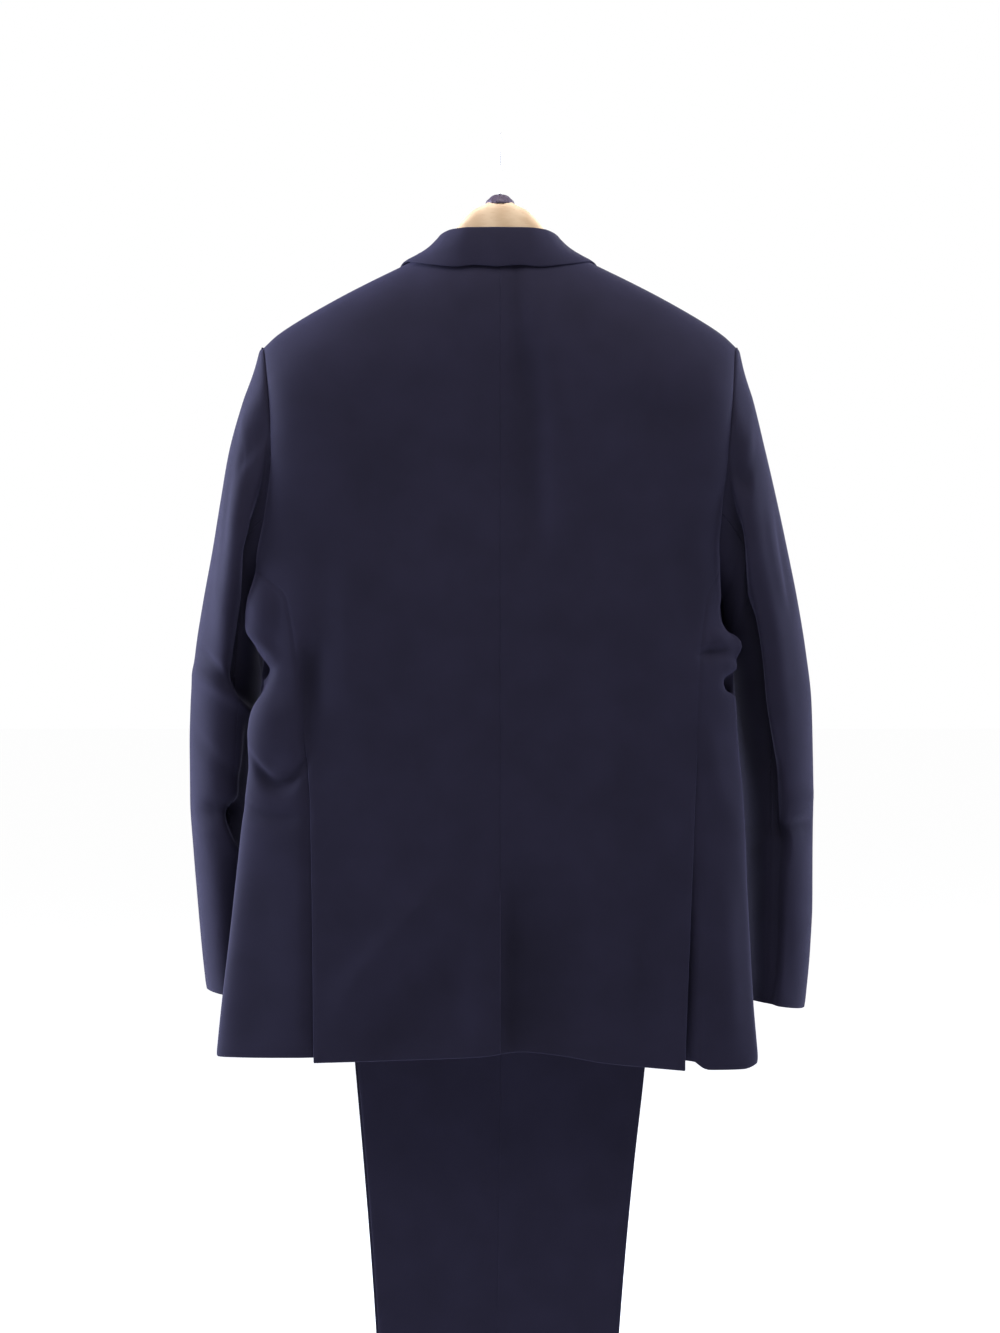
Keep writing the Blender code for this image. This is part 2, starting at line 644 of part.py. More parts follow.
# ---------------------------------------------------------------- sleeves
# Each row is one oval of the sleeve, from its outer point to its inner point, with y of its middle.
SLEEVE_COLUMNS = "outer_z outer_x inner_x inner_z y half_depth"
SLEEVE = {
    LEFT: Table(
        SLEEVE_COLUMNS,
        (-201, 226.5, 228.5, -434, 2, 46.5),
        (-226, 233, 229.6, -438, 2.5, 49),
        (-250, 243, 230.2, -443, 3, 51),
        (-297, 257, 231, -456, 6, 54),
        (-345, 266, 230.5, -474, 12, 54),
        (-392, 274.4, 230.5, -492, 20, 54),
        (-440, 284, 228.5, -512, 29, 55),
        (-487, 292.1, 229, -545, 37, 56),
        (-535, 297.4, 230, -582, 44, 57),
        (-582, 299, 232, -620, 50, 57),
        (-630, 299, 232.5, -660, 55, 57),
        (-680, 296.2, 232, -702, 60, 56),
        (-728, 292.6, 231, -744, 64, 55),
        (-776, 288.6, 229, -786, 67, 54),
        (-813.6, 284.6, 226, -822, 68, 53),
    ),
    RIGHT: Table(
        SLEEVE_COLUMNS,
        (-201, 226, 209.5, -434, 2, 46.5),
        (-226, 231, 211.5, -438, 2, 49),
        (-250, 239.7, 212.5, -443, 2.5, 51),
        (-297, 251.9, 213.5, -456, 5, 54),
        (-345, 263.5, 215, -470, 10, 55),
        (-392, 274.2, 220, -486, 17, 55),
        (-440, 284.4, 223, -508, 24, 56),
        (-487, 292.6, 225, -542, 30, 58),
        (-535, 298.6, 227, -580, 35, 59),
        (-582, 300.4, 230, -620, 40, 59),
        (-630, 301.4, 231.5, -662, 45, 58),
        (-677, 301.2, 232, -704, 50, 57),
        (-727, 301.4, 232, -748, 54, 56),
        (-776, 299.4, 232, -788, 57, 55),
        (-831, 294.5, 229, -820, 59, 54),
    ),
}


def sleeve_point(side, outer_z, angle, out=0.0):
    """The sleeve's outer face: angle 0 is the outer side, pi / 2 the front and pi the inner side."""
    row = {name: SLEEVE[side].at(name, outer_z) for name in SLEEVE_COLUMNS.split()[1:]}
    across, down = row["outer_x"] - row["inner_x"], outer_z - row["inner_z"]
    middle = stack((row["outer_x"] + row["inner_x"]) / 2, row["y"], (outer_z + row["inner_z"]) / 2)
    half = stack(across / 2, 0, down / 2)
    size = np.linalg.norm(half, axis=-1)
    grown = ((size + out) / size)[..., None]
    oval = middle + half * grown * np.cos(angle)[..., None]
    oval[..., 1] += (row["half_depth"] + out) * np.sin(angle)
    level, round_mm = armhole(side, angle)
    edge = body_point(side, level, round_mm)
    edge[..., 0] = np.abs(edge[..., 0]) + ARMHOLE_GAP
    point = lerp(edge, oval, ease(SHOULDER_TIP, SHOULDER_TIP - 44, outer_z)[..., None])
    point[..., 0] *= side
    return point


def sleeve_seam_turn(side, outer_z, angle, step=0.01):
    """How far round the sleeve a seam's edge stays from its seam line, to lie SEAM square off it."""
    low = np.minimum(outer_z, SHOULDER_TIP - 1)
    across = sleeve_point(side, low, angle + step) - sleeve_point(side, low, angle - step)
    along = sleeve_point(side, low + 1, angle) - sleeve_point(side, low - 1, angle)
    along /= np.linalg.norm(along, axis=-1, keepdims=True)
    square = np.linalg.norm(np.cross(across, along), axis=-1) / (2 * step)
    return SLEEVE_SEAM / np.maximum(square, 20)


def sleeve(side, kind, columns, rows=16):
    middle, half = (0, math.pi - UNDER_SLEEVE) if kind == "top" else (math.pi, UNDER_SLEEVE)
    cuff = SLEEVE[side].cells[0, 0]

    def place(u, v):
        outer_z = lerp(SHOULDER_TIP, cuff, ease(0, 2, v) * 2)
        gap = sleeve_seam_turn(side, outer_z, middle + half * np.sign(u - 0.5))
        return sleeve_point(side, outer_z, middle + (half - gap) * (2 * u - 1))

    panel(f"sleeve_{kind}_{NAMES[side]}", columns, rows, place, flip=side == LEFT)


# ---------------------------------------------------------------- trousers
LEG = Table(
    "z front back",
    (-223, -184, 196),
    (-300, -184, 200),
    (-400, -178, 196),
    (-505, -168, 171),
    (-600, -159, 161),
    (-700, -150, 153),
    (-800, -142, 145),
    (-892, -134, 136.5),
    (-972, -127, 127.5),
    (-1060, -120, 119),
    (-1150, -114, 112),
    (-1225, -110, 107.5),
)
OUTSEAM = Table("z x", (-223, -8), (-505, 4), (-1225, -4))
CREASE_BUNCH = 0.09  # draws a leg's columns together at the two seams and the crease
LEG_SIDES = {LEFT: -1, RIGHT: 1}  # the near leg, behind, is the wearer's left as the pair is folded


def leg_panel(side, part, rows=12):
    """One folded half of a leg, from the outseam round the crease to the inseam. Above the crotch
    the inner layer stops at the rise seam."""
    y_side = LEG_SIDES[side]
    front = part == "front"

    def place(u, v):
        u = u + CREASE_BUNCH * np.sin(2 * math.pi * u)
        crease_near = 1 - np.abs(2 * u - 1)
        inner = ease(0.5, 0.62, u)
        rise = lerp(RISE_END, CROTCH, ease(0.5, 1, u) ** 0.5)
        top = lerp(WAIST_TOP - WAISTBAND_HEIGHT - 2 * SEAM, rise, inner)
        z = lerp(top, TROUSER_HEM, v)
        edge = LEG.at("front" if front else "back", z)
        edge = edge - (FAR_LEG_SLIP * ease(-300, -800, z) if y_side > 0 and front else 0)
        seam = OUTSEAM.at("x", z) + (-SEAM if front else SEAM)
        share = np.sin(math.pi / 2 * np.clip(crease_near, 0, 1)) ** 0.9
        x = lerp(seam, edge, share)
        above = ease(CROTCH, RISE_END, z)
        plane = lerp(LEG_PLANE, SEAM, above)
        hip = lerp(WAISTBAND_Y, LEG_PLANE + LEG_HALF, ease(WAIST_TOP, CROTCH, z))
        half = lerp(LEG_HALF, hip - SEAM, above)
        layer = np.cos(math.pi * u)
        flat = np.sign(layer) * np.abs(layer) ** 0.35
        return stack(x, y_side * np.maximum(plane + half * flat, SEAM), z)

    name = f"trouser_{part}_{NAMES[side]}"
    panel(name, 8, rows, place, wall=TROUSER_CLOTH, flip=front == (y_side < 0), even=False)


def waistband(side):
    y_side = LEG_SIDES[side]

    def place(u, v):
        z = WAIST_TOP - WAISTBAND_HEIGHT * v
        x = lerp(LEG.at("front", WAIST_TOP), LEG.at("back", WAIST_TOP), u)
        return stack(x, y_side * WAISTBAND_Y, z)

    panel(f"waistband_{NAMES[side]}", 8, 1, place, wall=WAISTBAND_CLOTH, flip=y_side > 0)


# ---------------------------------------------------------------- buttons
BUTTON = {"radius": 10.0, "thickness": 3.4}
BUTTON_PROFILE = ((0, 0.62), (0.62, 0.62), (0.76, 1), (1, 0.7), (0.93, 0), (0, 0))  # as shares of those
FRONT_BUTTONS = (-522.0, -622.0)


def button(name, point):
    """A button with a raised rim that lies on the front at point."""
    profile = [(BUTTON["radius"] * across, BUTTON["thickness"] * up) for across, up in BUTTON_PROFILE]
    piece = turned(name, profile, 16, "button_horn")
    piece.rotation_euler = (-math.pi / 2, 0, 0)
    piece.location = Vector(point) * MM


def front_buttons():
    for number, z in enumerate(FRONT_BUTTONS, 1):
        button(f"front_button_{number}", on_front(LEFT, np.array(0.0), np.array(z), 2 * LAID_ON))


# ---------------------------------------------------------------- the hanger
ARMS = Table(
    "x top bottom",
    (0, -65, -104),
    (15, -65.6, -105),
    (24, -69.4, -107),
    (35, -79, -110),
    (42, -88, -113),
    (60, -109, -126),
    (80, -120.2, -140),
    (98, -128.9, -151),
    (120, -139.4, -163),
    (153, -156.5, -183),
    (180, -171.7, -200),
    (200, -184.2, -210),
    (209, -191.8, -211),
)


def hanger_arms():
    reach = ARMS.cells[-1, 0]
    stations, around = 26, 12

    def place(u, v):
        across = 2 * v - 1
        x = reach * np.sign(across) * np.abs(across) ** 0.9
        top, bottom = ARMS.at("top", np.abs(x)), ARMS.at("bottom", np.abs(x))
        end = np.sqrt(np.clip(1 - ((np.abs(across) - 0.93) / 0.07).clip(0) ** 2, 0, 1))
        angle = 2 * math.pi * u
        y = ARM_HALF_THICKNESS * end * soft(np.cos(angle))
        z = (top + bottom) / 2 + (top - bottom) / 2 * end * soft(np.sin(angle))
        return stack(x, y + ARMHOLE["y"] * ease(40, 120, np.abs(x)), z)

    def soft(value):
        return np.sign(value) * np.abs(value) ** 0.75

    bm = grid(around, stations, place)
    bmesh.ops.remove_doubles(bm, verts=bm.verts[:], dist=1e-6)
    bmesh.ops.recalc_face_normals(bm, faces=bm.faces[:])
    finish(bm, "hanger_arms", "hanger_wood")


# The domed cap with its groove, as shares of its radius and height.
FERRULE_PROFILE = ((0, 1), (0.45, 1), (0.74, 0.8), (0.9, 0.56), (0.84, 0.5), (1, 0.4), (1, 0), (0, 0))


def hook_ferrule():
    bottom, top = FERRULE["bottom"], FERRULE["top"]
    profile = [(FERRULE["radius"] * across, lerp(bottom, top, up)) for across, up in FERRULE_PROFILE]
    turned("hook_ferrule", profile, 20, "collar_black")


def hook():
    """The wire rises from the ferrule and turns up the front, over the top and down the back."""
    radius = HOOK["bend"] + HOOK["wire"]
    arc = np.radians(np.linspace(HOOK["start"], HOOK["end"], 22))
    route = [(0, 0, FERRULE["top"] + LAID_ON)]
    route += HOOK["neck"]
    route += [(0, radius * math.cos(angle), -HOOK["bend"] + radius * math.sin(angle)) for angle in arc]
    wire("hook", route, HOOK["wire"], "bright_steel")


def trouser_bar():
    """A bar with its ends turned up to the undersides of the arms."""
    middle_x, middle_z = BAR["half_width"] - BAR["corner"], BAR["z"] + BAR["corner"]
    y = ARMHOLE["y"]
    right = [(BAR["half_width"], y, float(ARMS.at("bottom", BAR["half_width"])) - BAR["seat_gap"])]
    for angle in np.linspace(math.pi / 2, 0, 5):
        right.append(
            (middle_x + BAR["corner"] * math.sin(angle), y, middle_z - BAR["corner"] * math.cos(angle))
        )
    left = [(-x, y, z) for x, y, z in reversed(right)]
    wire("trouser_bar", right + left, BAR["radius"], "bright_steel")


def clip(side):
    """A clip that rings the bar and grips the waistband, cut from one outline across the bar."""
    z, grip, deep = BAR["z"], WAISTBAND_Y + CLIP["grip_gap"], CLIP_HEAD["half_depth"]
    jaw, jaw_top = grip + CLIP["jaw"], z - CLIP_HEAD["jaw_top"]
    half_outline = [
        (CLIP_HEAD["crown"], z + CLIP_HEAD["top"]),
        (deep, z + CLIP_HEAD["shoulder"]),
        (deep, z - CLIP_HEAD["waist"]),
        (jaw, jaw_top),
        (jaw, CLIP["bottom"]),
        (grip, CLIP["bottom"]),
        (grip, jaw_top - 2),
    ]
    outline = half_outline + [(-y, h) for y, h in reversed(half_outline)]
    hole_radius = BAR["radius"] + CLIP["bar_gap"]
    turns = [2 * math.pi * i / 12 for i in range(12)]
    hole = [(ARMHOLE["y"] + hole_radius * math.cos(a), z + hole_radius * math.sin(a)) for a in turns]
    name = f"clip_{NAMES[side]}"
    curve = bpy.data.curves.new(name, "CURVE")
    curve.dimensions = "2D"
    curve.fill_mode = "BOTH"
    curve.extrude = CLIP["half_width"] * MM
    for loop in (outline, hole):
        spline = curve.splines.new("POLY")
        spline.points.add(len(loop) - 1)
        spline.use_cyclic_u = True
        for point, (y, h) in zip(spline.points, loop):
            point.co = (y * MM, h * MM, 0, 1)
    piece = add(name, curve, "bright_steel")
    piece.rotation_euler = (math.pi / 2, 0, math.pi / 2)
    piece.location = (side * CLIP["x"] * MM, 0, 0)


def build():
    for side in SIDES:
        back_panel(side)
        side_panel(side)
        front_panel(side)
        lapel(side)
        pocket_flap(side)
        sleeve(side, "top", 8)
        sleeve(side, "under", 4)
        leg_panel(side, "front")
        leg_panel(side, "back")
        waistband(side)
        clip(side)
    collar()
    breast_welt()
    front_buttons()
    hanger_arms()
    hook_ferrule()
    hook()
    trouser_bar()


build()
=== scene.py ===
"""The looks of a men's two-piece suit on its wooden hanger, seen from behind.

Every piece of cloth is a thin shell on the form that its solid has in the frame, with its seams and
with folds laid one by one. Sizes here are in millimetres, and in metres in Blender. The origin is the
point inside the top of the hook, +Z is up, +Y is the way the suit faces and +X the wearer's right.
"""

import math
import re
from types import SimpleNamespace as Sizes

import bpy
import numpy as np
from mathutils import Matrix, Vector


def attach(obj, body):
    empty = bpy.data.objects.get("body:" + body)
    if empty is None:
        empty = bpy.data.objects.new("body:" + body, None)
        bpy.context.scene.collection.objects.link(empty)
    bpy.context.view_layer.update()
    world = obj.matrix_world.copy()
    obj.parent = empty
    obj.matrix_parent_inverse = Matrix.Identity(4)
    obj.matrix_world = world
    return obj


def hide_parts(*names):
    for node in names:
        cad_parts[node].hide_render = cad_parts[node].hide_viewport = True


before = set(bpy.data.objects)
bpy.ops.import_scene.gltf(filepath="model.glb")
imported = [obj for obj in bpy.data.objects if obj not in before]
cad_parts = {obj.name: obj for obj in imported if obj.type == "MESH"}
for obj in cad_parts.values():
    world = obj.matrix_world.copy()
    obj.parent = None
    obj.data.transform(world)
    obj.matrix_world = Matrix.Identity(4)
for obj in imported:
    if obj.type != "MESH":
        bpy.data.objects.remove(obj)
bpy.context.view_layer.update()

MM = 0.001
# Into how many steps round forms and curves are divided, and the round section of threads and wires.
STEPS = Sizes(ring=320, arms=(220, 48), cap=112, button=48, hole=14, hook=70, bar=14)
SECTION = Sizes(thread=2, wire=6)
LEFT, RIGHT = SIDES = -1, 1
NAMES = {LEFT: "left", RIGHT: "right"}

# ---- driving dimensions
CLOTH = 1.5  # the suit's cloth with what backs it
COLLAR_CLOTH = 1.7
TROUSER_CLOTH = 1.2
SEAM = 0.15  # from a panel's edge to its seam line
LAID_ON = 0.4  # between a panel and what is sewn on it
EASED = 0.6  # more than that where the piece lies over a curve
ON_CLOTH = LAID_ON + CLOTH + EASED  # from a panel's face out to the face of a piece that lies on it
SLEEVE_SEAM = 0.3  # the same as SEAM, on the tighter curve of a sleeve

SHOULDER_TIP = -201.0  # height of the shoulder points
UNDER_TIP = SHOULDER_TIP - 1e-4  # the topmost level at which the ring still has a way round
SHOULDER_DROP = 95.0  # height over which the cloth turns from the shoulder line to the straight back
SLOPE_DROP = 320.0  # height over which the shoulder's slope fades out of the levels
HEM = -868.0
HEM_REACH = 150.0  # the height over which the hem's rises and drops fade out above it
BREAK_POINT = -508.0  # where the lapel's roll line meets the front edge
# The underlap of a side vent, in the first columns of the side panel.
UNDERLAP = Sizes(width=34.0, columns=3, shut_step=2.6, past_edge=9.0, spread_edge=7.0)
# How it goes behind the back's edge: its gap from it, the height over which it spreads, the heights
# over the vent's top where that starts and is done, and the way round to where it comes out again.
TUCK = Sizes(gap=0.8, spread=12.0, start=80.0, done=38.0, full=1.0, out=12.0)
LAP = Sizes(inset=5.4, full=22.0, end=110.0)  # how the right front lies behind the left one
ARMHOLE = Sizes(y=2.0, level=-318.0, half_depth=47.0, half_height=116.0)
ARMHOLE_GAP = -0.3  # from the body's armhole edge out to the sleeve's edge, which is tucked in
UNDER_SLEEVE = math.radians(65)  # half of the under sleeve's share of the girth

WAIST_TOP = -223.0
WAISTBAND_HEIGHT = 38.0
WAISTBAND_Y = 3.2  # from the middle to the waistband's outer face
WAISTBAND_CLOTH = 2.0
CROTCH = -505.0
RISE_END = -430.0  # where the rise seam runs into the folded edge
TROUSER_HEM = -1225.0
LEG_PLANE = 5.0  # from the middle out to the plane of one folded leg
LEG_HALF = 2.9  # half the thickness of a folded leg
# How far the far leg's front crease hangs past the near one's, and the heights where it starts to.
FAR_LEG_SLIP = Sizes(out=3.0, start=-300.0, full=-800.0)

FERRULE = Sizes(radius=13.7, bottom=-64.6, top=-54.8)
HOOK = Sizes(wire=1.9, bend=20.0, start=-58, end=205, neck=[(0, 0.4, -49), (0, 3.2, -44.2)])
# The arms' half thickness, how square their section is at the middle and further out, between which
# distances from the middle, how far out their ends start to round off, and where they lie back.
ARM = Sizes(half=10.0, square=(0.4, 0.75), from_middle=(12, 50), end=0.93, lie_back=(40, 120))
ARM_BUNCH = 0.9  # draws the arms' rings together at the middle
BAR = Sizes(z=-207.0, radius=2.2, half_width=166.0, corner=11.0, seat_gap=1.7)

# ---- tables and curves
def numbers(text):
    """The rows of numbers in a text. A row ends with its line or a semicolon, and # starts a remark."""
    rows = re.sub("#.*", "", text).replace(";", "\n").splitlines()
    return [[float(cell) for cell in row.split()] for row in rows if row.strip()]


class Table:
    """Named columns, with rows of numbers under them. at() reads a column smoothly between rows, by
    the first column."""

    def __init__(self, text):
        names, rows = re.split("[;\n]", text.strip(), maxsplit=1)
        self.names = names.split()
        self.cells = np.array(sorted(numbers(rows)))

    def at(self, name, place):
        return smooth_through(self.cells[:, 0], self.cells[:, self.names.index(name)], place)


def hermite(start, leave, end, arrive, t):
    """A cubic from start to end, with its slopes where it leaves and arrives."""
    to_end = t * t * (3 - 2 * t)
    leaving, arriving = leave * t * (1 - t) ** 2, arrive * t * t * (1 - t)
    return start * (1 - to_end) + leaving + end * to_end - arriving


def smooth_through(knots, values, place):
    """A monotone cubic through the knots, which never overshoots them and is held at both ends."""
    place = np.clip(np.asarray(place, float), knots[0], knots[-1])
    width = np.diff(knots)
    slope = np.diff(values) / width
    together = slope[1:] * slope[:-1] > 0
    total = np.where(together, slope[1:] + slope[:-1], 1)
    inner = np.where(together, 2 * slope[1:] * slope[:-1] / total, 0)
    tangent = np.concatenate([slope[:1], inner, slope[-1:]])
    i = np.clip(np.searchsorted(knots, place) - 1, 0, len(width) - 1)
    t = (place - knots[i]) / width[i]
    return hermite(values[i], tangent[i] * width[i], values[i + 1], tangent[i + 1] * width[i], t)


def ease(low, high, value):
    """0 up to low, 1 from high, and an even S between them."""
    t = np.clip((value - low) / (high - low), 0, 1)
    return t * t * (3 - 2 * t)


def lerp(start, end, share):
    return start + (end - start) * share


def rounded(value, power):
    """The value's power, with its sign kept."""
    return np.sign(value) * np.abs(value) ** power


def stack(x, y, z):
    return np.stack(np.broadcast_arrays(x, y, z), axis=-1).astype(float)


def unit(vectors):
    return vectors / np.maximum(np.linalg.norm(vectors, axis=-1, keepdims=True), 1e-9)


# ---- the jacket's body
# A level is a height at the side of the body. left and right are the half widths there, back and
# front the depths behind and in front of the side line at side_y, and square how boxy the ring is.
BODY = Table("""
    level left right back front side_y square
    -201 226 225 66 60 2 6
    -250 221 222 68 60 2 6
    -287 219 220 68 60 2 6
    -325 220 217 67 61 1 6
    -362 224 211 64 62 -1 6
    -400 227 207 60 63 -5 5.5
    -434 227 208 57 65 -9 5
    -465 227 211 54 67 -13 4.4
    -497 226 220 51 69 -16 4
    -532 228 222 47 72 -20 3.5
    -569 233 224 43 75 -23 3.1
    -626 240 229 40 79 -26 2.8
    -720 250 234 39 84 -27 2.6
    -815 260.5 239 40 88 -27 2.5
    -868 266.5 243 42 90 -27 2.5
""")
# The shoulder line out from the middle of the neck. Inside the neck it only shapes the cloth below.
SHOULDER = Table("""
    x height
    0 -87; 20 -89; 40 -96; 60 -105.5; 80 -116.5; 98 -125.5; 120 -136.2; 153 -153.2; 194 -176.8
    212 -189; 225 -201
""")
BACK_NECK = Table("x height; 0 -118; 40 -118; 65 -117.4; 80 -116.5")
SIDE_BACK_SEAM = {
    LEFT: Table("level x; -446 199; -478 193; -560 184; -629 177; -868 173.4"),
    RIGHT: Table("level x; -446 194; -478 189; -560 184.5; -629 182; -868 172.5"),
}
SIDE_FRONT_SEAM = Table("level x; -470 208; -540 203; -640 204; -868 218")
VENT_TOP = {LEFT: -629.0, RIGHT: -650.0}
VENT_GAPE = {LEFT: 2.2, RIGHT: 15.0}  # how far the underlap stands behind the back at the hem
# The roll line and the front edge, out from the centre line towards the front's own side.
ROLL_LINE = Table("z out; -508 -20; -180 66; -116 79")
FRONT_EDGE = Table("""
    level out
    -508 -20; -640 -20; -700 -17; -750 -8; -800 13; -838 44; -860 78; -868 108
""")
BACK_HEM = Table("x lift; -173 -4; -90 -0.8; -18 2.5; 20 7; 57 3.4; 94 -3.1; 173 -11.5")
# How far the side and front panels' hem lies above the plain one, by the way round from centre back.
SIDE_HEM = {
    LEFT: Table("round lift; 170 1; 283 -1.6; 350 -4; 590 -9"),
    RIGHT: Table("round lift; 170 -0.7; 192 -11; 231 -11.5; 262 -7; 340 -8; 560 -11"),
}
SIDE_HEM_SPAN = 175, 330  # the side panel's hem, by the way round
FRONT_HEM_SPAN = 360, 560
# The largest folds: the way round and level of the middle, the reach both ways, and the height.
FOLDS = {
    LEFT: ((238, -455, 34, 46, 10), (252, -500, 26, 15, -10), (232, -560, 30, 50, 7)),
    RIGHT: ((238, -486, 34, 12, 9), (232, -516, 22, 12, -8)),
}


def half_width(side, level):
    return BODY.at(NAMES[side], level)


def shoulder_turn(level):
    """0 on the shoulder line and 1 where the back and front hang straight."""
    t = np.clip((SHOULDER_TIP - level) / SHOULDER_DROP, 0, 1)
    return np.sqrt(t * (2 - t))


def height(x, level):
    """The real height at x of a level, which slopes with the shoulder and flattens below it."""
    t = np.clip((SHOULDER_TIP - level) / SLOPE_DROP, 0, 1)
    above_tip = SHOULDER.at("height", np.abs(x)) - SHOULDER_TIP
    return level + above_tip * (1 - t) ** 2 * (1 + 2 * t)


TRIES = Sizes(count=12, stride=0.8)  # at the level of a height, each that share nearer


def level_at(x, z):
    """The level that has the height z at x."""
    level = np.asarray(z, float) + 0 * x
    for _ in range(TRIES.count):
        level = level + (z - height(x, level)) * TRIES.stride
    return np.minimum(level, UNDER_TIP)


def depth(level, front):
    return BODY.at("front" if front else "back", level) * shoulder_turn(level)


def turn_at_x(side, level, x, front=False):
    """The way round the ring, from 0 at centre back to 2 at centre front, where it is x wide."""
    share = np.clip(x / half_width(side, level), 0, 1)
    quarter = np.arcsin(share ** (BODY.at("square", level) / 2)) / (math.pi / 2)
    return 2 - quarter if front else quarter


def turn_at_y(level, y):
    """The way round the ring where it is as deep as y."""
    from_side = y - BODY.at("side_y", level)
    reach = np.where(from_side > 0, depth(level, True), depth(level, False))
    share = np.clip(np.abs(from_side) / np.maximum(reach, 1e-6), 0, 1)
    quarter = np.arccos(share ** (BODY.at("square", level) / 2)) / (math.pi / 2)
    return np.where(from_side > 0, 2 - quarter, quarter)


def ring_xy(side, level, turn):
    """Where the ring is at that way round. Past 2 it runs straight on over the centre line."""
    angle = np.clip(turn, 0, 2) * math.pi / 2
    power = 2 / BODY.at("square", level)
    wide = half_width(side, level) * np.abs(np.sin(angle)) ** power
    deep = np.abs(np.cos(angle)) ** power
    reach = np.where(turn > 1, depth(level, True), -depth(level, False))
    return wide, BODY.at("side_y", level) + reach * deep


def round_at_turn(side, level, turn):
    """Millimetres of cloth from centre back to that way round the ring."""
    turn = np.asarray(turn, float)[..., None] * np.linspace(0, 1, STEPS.ring)
    wide, deep = ring_xy(side, np.asarray(level, float)[..., None], turn)
    return np.hypot(np.diff(wide), np.diff(deep)).sum(-1)


def pick(values, index):
    return np.take_along_axis(values, index[..., None], -1)[..., 0]


def on_body(side, level, round_mm):
    """The cloth's outer face at so many millimetres round from centre back."""
    level, round_mm = np.broadcast_arrays(np.asarray(level, float), np.asarray(round_mm, float))
    wide, deep = ring_xy(side, level[..., None], np.linspace(0, 2, STEPS.ring))
    step = np.hypot(np.diff(wide), np.diff(deep))
    ends = np.concatenate([np.zeros_like(step[..., :1]), np.cumsum(step, -1)], -1)
    past = np.maximum(round_mm - ends[..., -1], 0)
    i = np.clip((ends <= round_mm[..., None]).sum(-1) - 1, 0, STEPS.ring - 2)
    share = np.clip((round_mm - pick(ends, i)) / np.maximum(pick(step, i), 1e-9), 0, 1)
    x = lerp(pick(wide, i), pick(wide, i + 1), share) - past
    y = lerp(pick(deep, i), pick(deep, i + 1), share)
    return stack(side * x, y, height(x, level))


NEAR = 1.5  # the step over which the cloth's facing is measured


def facing(side, level, round_mm):
    """The direction out of the cloth."""
    low, high = np.minimum(level, SHOULDER_TIP - 2 * NEAR) - NEAR, np.minimum(level + NEAR, SHOULDER_TIP)
    up = on_body(side, high, round_mm) - on_body(side, low, round_mm)
    along = on_body(side, level, round_mm + NEAR) - on_body(side, level, np.maximum(round_mm - NEAR, 0))
    return side * unit(np.cross(along, up))


def body_point(side, level, round_mm, out=0.0):
    """The cloth's outer face with its folds, moved out by out."""
    level, round_mm = np.broadcast_arrays(np.asarray(level, float), np.asarray(round_mm, float))
    push = np.broadcast_to(out + fold_height(side, level, round_mm), level.shape)
    point = on_body(side, level, round_mm)
    pushed = push != 0
    if np.any(pushed):
        point[pushed] += facing(side, level[pushed], round_mm[pushed]) * push[pushed][:, None]
    return point


def fold_height(side, level, round_mm):
    """How far the largest folds stand out of the body there."""
    total = 0.0
    for middle, at_level, half_round, half_level, tall in FOLDS[side]:
        away = ((round_mm - middle) / half_round) ** 2 + ((level - at_level) / half_level) ** 2
        total = total + tall * np.clip(1 - away, 0, 1) ** 2
    return total


def round_at_x(side, level, x, front=False):
    """The way round in millimetres at x, on the back or the front, also past the centre line."""
    inside = np.maximum(x, 0)
    return round_at_turn(side, level, turn_at_x(side, level, inside, front)) + np.maximum(-x, 0)


def on_front(side, out_x, z, out):
    """The point on the front at that distance out from the centre line and that height."""
    level = level_at(out_x, z)
    return body_point(side, level, round_at_x(side, level, out_x, True), out)


# ---- seams
def armhole(side, angle):
    """The level and way round of the armhole's edge: 0 at the shoulder, pi / 2 at its front."""
    level = np.minimum(ARMHOLE.level + ARMHOLE.half_height * np.cos(angle), UNDER_TIP)
    y = ARMHOLE.y + ARMHOLE.half_depth * np.sin(angle)
    return level, round_at_turn(side, level, turn_at_y(level, y))


def armhole_round(side, level, front):
    """The way round of the armhole's edge at a level, behind or in front."""
    share = np.clip((level - ARMHOLE.level) / ARMHOLE.half_height, -1, 1)
    reach = ARMHOLE.half_depth * np.sqrt(1 - share * share)
    y = ARMHOLE.y + (reach if front else -reach)
    return round_at_turn(side, level, turn_at_y(level, y))


ROWS = 20  # of the back and the front; the side panel shares those from CORNER_ROW down
TURN_ROWS = 6
CORNER_ROW = 9
TURN_END = math.radians(75)
EVEN_FROM = SHOULDER_TIP - SHOULDER_DROP * (1 - math.cos(TURN_END))
CORNER_LEVEL = EVEN_FROM + (HEM - EVEN_FROM) * (CORNER_ROW - TURN_ROWS) / (ROWS - TURN_ROWS)
CORNER_ANGLE = math.acos((CORNER_LEVEL - ARMHOLE.level) / ARMHOLE.half_height)
BACK_CORNER, FRONT_CORNER = 2 * math.pi - CORNER_ANGLE, CORNER_ANGLE


def seam_round(side, level, front):
    """The way round of the side-back or side-front seam, and of the armhole's edge above it."""
    corner_level, corner_round = armhole(side, FRONT_CORNER if front else BACK_CORNER)
    table = SIDE_FRONT_SEAM if front else SIDE_BACK_SEAM[side]
    below = round_at_x(side, level, table.at("x", level), front)
    first = table.cells[-1, 0]
    share = ease(0, 1, (corner_level - level) / (corner_level - first))
    seam = lerp(corner_round, below, share)
    return np.where(level > corner_level, armhole_round(side, level, front), seam)


# ---- folds laid one by one
# Each crease runs along a bowed line. across and down are its two ends on the cloth in millimetres,
# bow how far its middle stands aside, width its half width, height what it stands out of the cloth
# (less than 0 is a trough), and skew makes the side it leans to the steeper one. The columns are
# across_1, down_1, across_2, down_2, bow, width, height and skew.
CREASE_FADE = (-0.2, 0.3)  # the share of a crease's length over which its ends fade in


